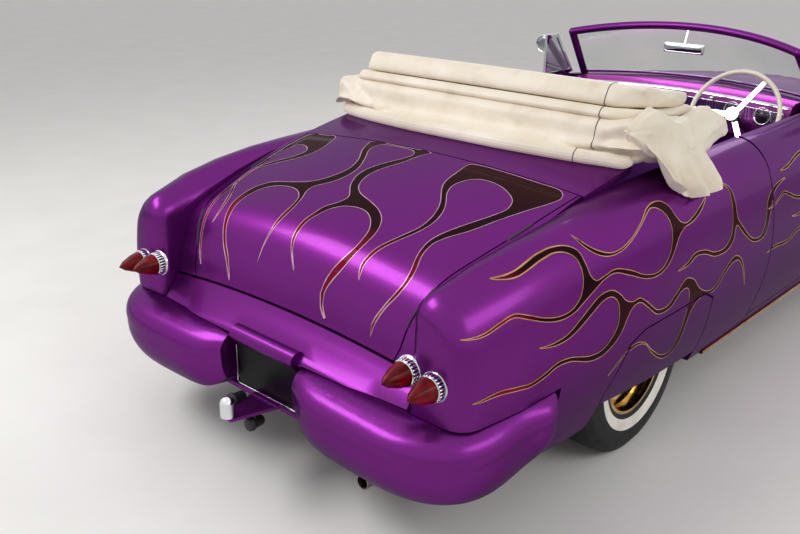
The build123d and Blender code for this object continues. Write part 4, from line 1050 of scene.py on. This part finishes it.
def make_roof_side():
    """The roof's right side, gathered on the quarter in a rumpled bundle."""
    line = [(-1.335, -0.715, 1.205, 1.235, 0.020), (-1.300, -0.735, 1.150, 1.270, 0.045),
            (-1.250, -0.748, 1.115, 1.300, 0.062), (-1.200, -0.755, 1.105, 1.292, 0.066),
            (-1.143, -0.762, 1.100, 1.262, 0.062), (-1.084, -0.765, 1.095, 1.246, 0.060),
            (-1.003, -0.768, 1.092, 1.243, 0.060), (-0.923, -0.772, 1.095, 1.252, 0.062),
            (-0.867, -0.775, 1.102, 1.262, 0.062), (-0.815, -0.778, 1.110, 1.250, 0.058),
            (-0.765, -0.780, 1.122, 1.226, 0.048), (-0.728, -0.782, 1.140, 1.196, 0.030),
            (-0.714, -0.783, 1.155, 1.178, 0.012)]

    def station(x):
        for a, b in zip(line, line[1:]):
            if a[0] <= x <= b[0]:
                t = ease((x - a[0]) / (b[0] - a[0])) * 0.4 + 0.6 * (x - a[0]) / (b[0] - a[0])
                return [u + (v - u) * t for u, v in zip(a, b)]
        return list(line[-1])

    loops = []
    count = 62
    around = 60
    for k in range(count + 1):
        x = line[0][0] + (line[-1][0] - line[0][0]) * k / count
        x, y, low, high, half = station(x)
        middle = (low + high) / 2
        tall = (high - low) / 2
        ring = []
        for i in range(around):
            turn = 2 * math.pi * i / around
            c, s = math.cos(turn), math.sin(turn)
            wind = 3 * turn + 9.0 * x + 2.6 * math.sin(8 * x)
            rope = 0.20 * (1 - abs(math.sin(wind / 2)) ** 0.7) + 0.07 * math.sin(5 * turn - 13 * x + 1.0)
            spot = Vector((x * 8, c * 1.3, s * 1.3 + 4))
            rough = 0.20 * noise.noise(spot) + 0.10 * noise.noise(spot * 2.3)
            grow = 0.93 + rope + rough
            ring.append(Vector((x + 0.014 * noise.noise(Vector((c, s, x * 6))), y - half * c * grow,
                                middle + tall * s * grow)))
        loops.append(ring)
    bundle = swept("roof_fold_side", loops, ROOF_VINYL, "body", 1)
    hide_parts("folded_top")


def curve_at(points, s):
    """A smooth curve through points, where s runs from 0 at the first to 1 at the last."""
    at = s * (len(points) - 1)
    i = min(int(at), len(points) - 2)
    t = at - i
    p = [Vector(points[max(0, min(len(points) - 1, j))]) for j in (i - 1, i, i + 1, i + 2)]
    return 0.5 * (2 * p[1] + (p[2] - p[0]) * t + (2 * p[0] - 5 * p[1] + 4 * p[2] - p[3]) * t * t
                  + (3 * p[1] - p[0] - 3 * p[2] + p[3]) * t ** 3)


def make_roof_flap():
    """The loose flap that falls from the roof's right side over the quarter, in soft waves."""
    body = Panels("quarter_panels", "deck_panel")
    upper = [(-1.315, -0.760, 1.185), (-1.24, -0.800, 1.205), (-1.16, -0.812, 1.195), (-1.07, -0.815, 1.170),
             (-0.98, -0.816, 1.160), (-0.90, -0.815, 1.165)]
    waist = [(-1.290, -0.800, 1.115), (-1.235, -0.830, 1.125), (-1.16, -0.850, 1.100), (-1.07, -0.850, 1.085),
             (-0.99, -0.842, 1.075), (-0.935, -0.826, 1.090)]
    hem = [(-1.250, -0.850, 1.012), (-1.215, -0.872, 0.996), (-1.135, -0.893, 0.975), (-1.060, -0.896, 0.972),
           (-0.975, -0.894, 0.973), (-0.918, -0.876, 0.992)]

    wide, tall = 72, 40
    points = []
    for j in range(tall + 1):
        t = j / tall
        for i in range(wide + 1):
            s = i / wide
            a, b, c = (curve_at(line, s) for line in (upper, waist, hem))
            p = a * (1 - t) ** 2 + (b * 2 - (a + c) / 2) * 2 * t * (1 - t) + c * t * t
            strength = 0.010 + 0.026 * ease(t * 1.2)
            wave = math.sin(2 * math.pi * (2.4 * s + 0.25 * math.sin(3 * t) + 0.1))
            small_wave = math.sin(2 * math.pi * (5.3 * s - 0.4 * t + 0.3))
            wave = 0.75 * math.copysign(abs(wave) ** 0.7, wave) + 0.3 * small_wave
            corner = 1 - 0.22 * ease((t - 0.78) / 0.22) ** 2
            middle = curve_at(hem, 0.5)
            p.x = middle.x + (p.x - middle.x) * corner
            p += Vector((0.15, -0.85, 0.35)) * strength * (wave + 0.45)
            p += Vector((0.0, -1, 0.3)) * 0.006 * noise.noise(Vector((s * 5, t * 4, 1.5)))
            found = body.hit(Vector((p.x, p.y, 1.7)), Vector((0, 0, -1)))
            if found and p.z < found[0].z + 0.010:
                p.z = found[0].z + 0.010
            points.append(p)
    faces = grid_faces(tall + 1, wide + 1, BACKWARD_FIRST)
    flap = add_piece("roof_side_flap", points, faces, ROOF_VINYL, "body")
    thicken(flap, "cloth_thickness", 0.0025, 0.0)
    rounding = flap.modifiers.new("rounding", "SUBSURF")
    rounding.levels = rounding.render_levels = 1


make_roof()
make_roof_side()
make_roof_flap()


# Cabin and lamp details

def turned(name, profile, place, axis, material, body, count):
    """A shape turned about an axis: its profile is a list of distance along and radius."""
    along = Vector(axis).normalized()
    side = along.orthogonal().normalized()
    other = along.cross(side)
    points, faces = [], []
    for i in range(count):
        turn = 2 * math.pi * i / count
        for d, r in profile:
            points.append(Vector(place) + along * d + (side * math.cos(turn) + other * math.sin(turn)) * r)
    size = len(profile)
    for i in range(count):
        j = (i + 1) % count
        for k in range(size - 1):
            faces.append((i * size + k, j * size + k, j * size + k + 1, i * size + k + 1))
    return add_piece(name, points, faces, material, body)


LAMPS = [(-2.388, side * y, z) for side in (1, -1) for y, z in ((0.655, 0.655), (0.756, 0.640))]


def make_lamp_ribs():
    """Half-round ribs round each tail lamp's bright band, and the thin ring that closes it."""
    for number, (x, y, z) in enumerate(LAMPS, 1):
        points, faces = [], []
        for k in range(24):
            turn = 2 * math.pi * k / 24
            out = Vector((0, math.cos(turn), math.sin(turn)))
            flat = Vector((0, -math.sin(turn), math.cos(turn)))
            start = len(points)
            steps = [(0.0118, 0.0), (0.0135, 0.8), (0.016, 1.0), (0.031, 1.0), (0.0340, 0.8), (0.0362, 0.0)]
            for d, size in steps:
                radius = 0.0438 - 0.0012 * (d - 0.012) / 0.024
                for a in range(7):
                    angle = math.pi * (a / 6)
                    rise = 0.0030 * size * math.sin(angle) - 0.0006
                    reach = 0.0036 * (0.55 + 0.45 * size) * math.cos(angle)
                    points.append(Vector((x - d, y, z)) + out * (radius + rise) + flat * reach)
            for i in range(len(steps) - 1):
                for a in range(6):
                    p = start + i * 7 + a
                    faces.append((p, p + 1, p + 8, p + 7))
        add_piece("tail_lamp_ribs_%d" % number, points, faces, CHROME, "body")
        ring = [(0.0, 0.0487), (0.001, 0.0500), (0.005, 0.0506), (0.009, 0.0500), (0.0105, 0.0486),
                (0.0105, 0.0470), (0.0, 0.0470)]
        turned("tail_lamp_ring_%d" % number, ring, (x - 0.0005, y, z), (-1, 0, 0), CHROME, "body",
               48)


def gauge_face():
    """The dark face of a dial."""
    f = Finish("gauge_face", roughness=0.3)
    f.colour(f.ramp(f.noise(60, 3.0), (0.3, "15151a"), (0.7, "24242b")))
    f.rough(f.noise(40, 3.0), 0.2, 0.35)
    return f.bump(f.noise(200, 3.0), 0.0002, 0.2).material


DASH_BOW = 7.108
FLUTE_PITCH = 0.0152


def dash_height(y):
    """How far the dash's crown has dropped at this distance from the middle."""
    return math.sqrt(DASH_BOW ** 2 - y * y) - DASH_BOW


def make_dial_marks(number, x, y, z):
    """Thirteen raised strokes round a dial's face; every third one is longer."""
    marks, corners = [], []
    for k in range(13):
        turn = math.radians(-130 + 260 * k / 12)
        out = Vector((0, math.sin(turn), math.cos(turn)))
        flat = Vector((0, math.cos(turn), -math.sin(turn)))
        inner = 0.026 if k % 3 == 0 else 0.0295
        start = len(marks)
        for reach, wide in ((inner, -1), (inner, 1), (0.0345, 1), (0.0345, -1)):
            for lift in (0.0018, 0.0032):
                marks.append(Vector((x - lift, y, z)) + out * reach + flat * wide * 0.0009)
        for face in ((1, 3, 5, 7), (0, 6, 4, 2), (0, 2, 3, 1), (2, 4, 5, 3), (4, 6, 7, 5), (6, 0, 1, 7)):
            corners.append(tuple(start + i for i in face))
    add_piece("dial_%d_marks" % number, marks, corners, CREAM_PAINT, "body", 0, False)


def make_dash():
    """Bright trim on the dash: a strip under its top, a fluted panel, knobs and two dials."""
    outline = ((0.4600, 1.0980), (0.4555, 1.0985), (0.4480, 1.0915), (0.4455, 1.0835), (0.4475, 1.0790),
               (0.4520, 1.0800))
    strip = []
    for k in range(61):
        y = 0.62 - 1.24 * k / 60
        drop = dash_height(y)
        strip.append([Vector((x, y, z + drop)) for x, z in outline])
    swept("dash_strip", strip, CHROME, "body", 1)

    points = []
    across, rows = 260, (1.062, 1.0600, 1.0575, 0.9925, 0.9900, 0.988)
    for k in range(across + 1):
        y = 0.16 - 0.76 * k / across
        drop = dash_height(y)
        rib = (0.5 - 0.5 * math.cos(2 * math.pi * (y - 0.16) / FLUTE_PITCH)) ** 0.7
        for i, z in enumerate(rows):
            base = 0.448 + (1.065 - z) * (0.022 / 0.160)
            proud = (0.0, 0.0045, 0.0060, 0.0060, 0.0045, 0.0)[i] - 0.0012
            cut = 0.0028 * rib if 1 < i < 4 else 0.0
            points.append(Vector((base - proud + cut, y, z + drop)))
    size = len(rows)
    faces = grid_faces(across + 1, size, BACKWARD_FIRST)
    for end, turn in ((0, 1), (across * size, -1)):
        ring = [end + i for i in range(size)]
        faces.append(tuple(ring if turn > 0 else reversed(ring)))
    add_piece("dash_panel", points, faces, CHROME, "body")

    knob = [(0.0, 0.004), (0.010, 0.004), (0.012, 0.0088), (0.020, 0.0096), (0.025, 0.0086), (0.0265, 0.0)]
    for number, y in enumerate((0.42, 0.34, 0.10, 0.02, -0.06, -0.14, -0.22), 1):
        turned("dash_knob_%d" % number, knob, (0.4495, y, 1.0715 + dash_height(y)), (-1, 0, 0.1), CHROME,
               "body", 24)
    dial_face = gauge_face()
    for number, y in enumerate((-0.335, -0.495), 1):
        z = 1.026 + dash_height(y)
        rim = [(0.0, 0.0455), (0.012, 0.0455), (0.0155, 0.0435), (0.0150, 0.0400), (0.0080, 0.0385),
               (0.0078, 0.0)]
        turned("dial_%d_rim" % number, rim, (0.4535, y, z), (-1, 0, 0.13), CHROME, "body", 48)
        face = [(0.0, 0.038), (0.0016, 0.0375), (0.0022, 0.0)]
        turned("dial_%d_face" % number, face, (0.4455, y, z + 0.001), (-1, 0, 0.13), dial_face, "body",
               48)
        make_dial_marks(number, 0.4455, y, z + 0.001)


MIRROR_POINTS = 48
MIRROR_HALF, MIRROR_TALL = 0.112, 0.0235
MIRROR_X, MIRROR_Z = 0.4890, 1.300


def mirror_ring(depth, grow):
    """A loop round the interior mirror's face, which is an oblong with round corners."""
    ring = []
    for k in range(MIRROR_POINTS):
        turn = 2 * math.pi * k / MIRROR_POINTS
        c, s = math.cos(turn), math.sin(turn)
        ring.append(Vector((MIRROR_X - depth, math.copysign(abs(c) ** 0.22, c) * (MIRROR_HALF + grow),
                            MIRROR_Z + math.copysign(abs(s) ** 0.35, s) * (MIRROR_TALL + grow))))
    return ring


def make_mirrors():
    """Mirror glass set into each mirror's rear face, with a bright rim."""
    for side, name in ((1, "left"), (-1, "right")):
        centre = (0.4700, side * 0.885, 1.250)
        glass_face = [(0.0, 0.044), (0.0012, 0.0436), (0.0020, 0.025), (0.0022, 0.0)]
        body = "door_" + name
        turned("mirror_glass_" + name, glass_face, centre, (-1, 0, 0), MIRROR_GLASS, body, 40)
        rim = [(-0.004, 0.0503), (0.0, 0.0512), (0.0028, 0.0500), (0.0032, 0.0462), (0.0008, 0.0440)]
        turned("mirror_rim_" + name, rim, centre, (-1, 0, 0), CHROME, body, 48)
    outline = ((0.0005, 0.0), (0.0020, -0.0015), (0.0025, -0.0040), (0.0012, -0.0060))
    points = [p for d, grow in outline for p in mirror_ring(d, grow)]
    faces = []
    for k in range(len(outline) - 1):
        for i in range(MIRROR_POINTS):
            j = (i + 1) % MIRROR_POINTS
            faces.append((k * MIRROR_POINTS + i, k * MIRROR_POINTS + j, (k + 1) * MIRROR_POINTS + j,
                          (k + 1) * MIRROR_POINTS + i))
    add_piece("interior_mirror_rim", points, faces, CHROME, "body")
    rings = [mirror_ring(0.0008, -0.0055), mirror_ring(0.0018, -0.0065)]
    swept("interior_mirror_glass", rings, MIRROR_GLASS, "body", 0)


def make_plate_rim():
    """A thin silver border along the number plate's left and lower edges."""
    low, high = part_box("number_plate")
    x = low[0]
    line = [(0.160, high[2] - 0.012), (0.160, low[2] + 0.012), (0.152, low[2] + 0.006),
            (-0.160, low[2] + 0.006)]
    loops = []
    for k, (y, z) in enumerate(line):
        square = ((-1, -1), (1, -1), (1, 1), (-1, 1))
        ends = [(0.0, 1.0), (0.6, 0.8), (0.8, 0.6), (1.0, 0.0)][k]
        loops.append([Vector((x - 0.0008 * (1 + d), y + w * 0.0025 * ends[1], z + w * 0.0025 * ends[0]))
                      for w, d in square])
    rim = swept("plate_rim", loops, CHROME, "body", 0)
    soft = rim.modifiers.new("soft_edge", "BEVEL")
    soft.width, soft.segments = 0.0006, 2


RUBBER = matt("black_rubber", "0c0c0d", "1d1d1f", 70, 0.0004, 0.5, 0.75)
SEAL_START, SEAL_END = 68, 204


def make_seal_and_gap_shade(side):
    """The black rubber seal that shows in the gap along the boot lid's side: a tube that fills the gap,
    partly a real seal and partly painted shade for the shadow in the gap.
    """
    lid = Panels("boot_lid")
    hinge = Vector((-1.93, 0, 0.72))
    line = []
    for k in range(44):
        turn = math.radians(SEAL_START + (SEAL_END - SEAL_START) * k / 43)
        ray = Vector((math.cos(turn), 0, math.sin(turn)))
        low, high = 0.40, 0.90
        for _ in range(14):
            middle = (low + high) / 2
            start = hinge + ray * 1.2 + Vector((0, side * middle, 0))
            if lid.hit(start, -ray) and (lid.hit(start, -ray)[0] - start).length < 1.1:
                low = middle
            else:
                high = middle
        start = hinge + ray * 1.2 + Vector((0, side * low, 0))
        found = lid.hit(start, -ray)
        if found:
            line.append(found[0] + Vector((0, side * 0.0028, 0)) - ray * 0.0004)
    # The dark tube in the gap is partly painted shade: it shows the shadow in the gap as a black line
    thin_line("lid_seal_gap_shade_left" if side > 0 else "lid_seal_gap_shade_right", line, 0.0046, RUBBER, "body")


def make_tow_sockets():
    """Two black electrical sockets on small plates at the tow bar, one beside its arm and one below it."""
    shape = [(-0.040, 0.0), (-0.040, 0.015), (-0.034, 0.019), (0.004, 0.0215), (0.006, 0.0255),
             (0.012, 0.0262), (0.014, 0.0245), (0.021, 0.0240), (0.0245, 0.0215), (0.0255, 0.0)]
    for name, place in (("tow_socket_side", (-2.502, 0.074, 0.322)),
                        ("tow_socket_low", (-2.498, -0.020, 0.262))):
        turned(name, shape, place, (-1, 0, 0), RUBBER, "body", 40)
    plate = []
    outline = ((-2.522, -0.002), (-2.470, -0.002), (-2.470, 0.002), (-2.522, 0.002))
    for y, z in ((0.026, 0.3000), (0.034, 0.2985), (0.050, 0.2965), (0.070, 0.2960), (0.088, 0.2960)):
        plate.append([Vector((x, y, z + h)) for x, h in outline])
    swept("tow_socket_plate", plate, BLACK_PAINT, "body", 0)
    hanger = []
    outline = ((-2.500, -0.034), (-2.496, -0.034), (-2.496, -0.006), (-2.500, -0.006))
    for z in (0.306, 0.298, 0.285, 0.270):
        hanger.append([Vector((x, y, z)) for x, y in outline])
    swept("tow_socket_hanger", hanger, BLACK_PAINT, "body", 0)


SHEET_METAL = 0.0015


WING_BEAD_PITCH, BOOT_BEAD_PITCH = 0.23, 0.12


def make_inner_wing(side, name):
    """The pressed panel between the engine bay and a front wheel, with a shelf over the wheel."""
    section = [(0.460, 0.516), (0.460, 0.560), (0.460, 0.620), (0.460, 0.690), (0.460, 0.755), (0.470, 0.785),
               (0.495, 0.800), (0.560, 0.806), (0.640, 0.812), (0.700, 0.817)]
    points = []
    steps = 150
    for k in range(steps + 1):
        x = 0.845 + (2.235 - 0.845) * k / steps
        for i, (y, z) in enumerate(section):
            press = max(0.0, math.cos(2 * math.pi * x / WING_BEAD_PITCH)) ** 3
            bead = 0.006 * press if 0 < i < 5 else 0.0
            shelf = 0.004 * press if 6 < i < 9 else 0.0
            points.append(Vector((x, side * (y - bead), z + shelf)))
    faces = grid_faces(steps + 1, len(section), FORWARD if side > 0 else BACKWARD)
    wing = add_piece("inner_wing_" + name, points, faces, BLACK_PAINT, "body")
    thicken(wing, "sheet_metal", SHEET_METAL)


BOOT_FLOOR = 0.5535


def make_boot_side(side, name):
    """The pressed panel that closes the boot between its floor and a rear quarter."""
    points = []
    steps, rows = 60, 7
    for k in range(steps + 1):
        x = -2.185 + 0.465 * k / steps
        top = 0.815 + 0.08 * k / steps
        for i in range(rows):
            up = i / (rows - 1)
            press = max(0.0, math.cos(2 * math.pi * x / BOOT_BEAD_PITCH)) ** 3
            bead = 0.005 * press if 0 < i < rows - 1 else 0.0
            z = BOOT_FLOOR + (top - BOOT_FLOOR) * up
            points.append(Vector((x, side * (0.602 + 0.046 * up - bead), z)))
    faces = grid_faces(steps + 1, rows, FORWARD if side > 0 else BACKWARD)
    panel = add_piece("boot_side_" + name, points, faces, BLACK_PAINT, "body")
    thicken(panel, "sheet_metal", SHEET_METAL)


CARD_PITCH = 0.048
CARD_BORDER = 0.045


def make_card(name, side, carriers, body, left, right, low, high, band):
    """Inner trim on a wall of the cabin: a sewn panel with upright channels, and a padded band above."""
    inner = Panels(*carriers)
    points = []
    across, up = 150, 60
    for j in range(up + 1):
        z = low + (high - low) * j / up
        for i in range(across + 1):
            x = left + (right - left) * i / across
            found = inner.hit(Vector((x, 0, z)), Vector((0, side, 0)))
            wall = abs(found[0].y) if found else 0.735
            edge = min(x - left, right - x, z - low, high - z)
            proud = 0.0015 + 0.0115 * ease(edge / 0.020)
            if low + CARD_BORDER < z < band:
                proud -= 0.0055 * abs(math.cos(math.pi * (x - left) / CARD_PITCH)) ** 8 * ease(edge / 0.03)
            if z >= band:
                proud += 0.008 * math.sin(math.pi * min(1.0, (z - band) / (high - band))) ** 0.6
            for line in (low + CARD_BORDER, band):
                proud -= 0.0045 * bell(z - line, 0.0035)
            points.append(Vector((x, side * (wall - proud), z)))
    faces = grid_faces(up + 1, across + 1, FORWARD if side < 0 else BACKWARD)
    card = add_piece(name, points, faces, SEAT_VINYL, body)
    card.data.materials.append(PIPING)
    for polygon in card.data.polygons:
        if polygon.center.z > band + 0.002:
            polygon.material_index = 1
    thicken(card, "board", 0.0012)


SIDES = (("left", 1), ("right", -1))
for side_name, sign in SIDES:
    make_seal_and_gap_shade(sign)
make_tow_sockets()
for side_name, sign in SIDES:
    make_inner_wing(sign, side_name)
for side_name, sign in SIDES:
    make_boot_side(sign, side_name)
for side_name, sign in SIDES:
    door_name = "door_" + side_name
    make_card("door_card_" + side_name, sign, [door_name], door_name, -0.415, 0.500, 0.430, 1.030, 0.870)
    make_card("rear_card_" + side_name, sign, ["floor_pan", "quarter_panels"], "body", -0.780, -0.470, 0.480,
              1.000, 0.870)
make_lamp_ribs()
make_dash()
make_mirrors()
make_plate_rim()


# Floor

def make_floor():
    """A pale floor, which is stage and no part of the car."""
    mesh = bpy.data.meshes.new("floor")
    size = 60.0
    mesh.from_pydata([(-size, -size, 0), (size, -size, 0), (size, size, 0), (-size, size, 0)], [],
                     [(0, 1, 2, 3)])
    floor = bpy.data.objects.new("floor", mesh)
    scene.collection.objects.link(floor)
    f = Finish("floor_paper", roughness=0.9)
    f.colour(f.ramp(f.noise(2.5, 4.0), (0.3, "eeece9"), (0.7, "f3f1ee")))
    mesh.materials.append(f.material)


make_floor()

bpy.context.view_layer.update()
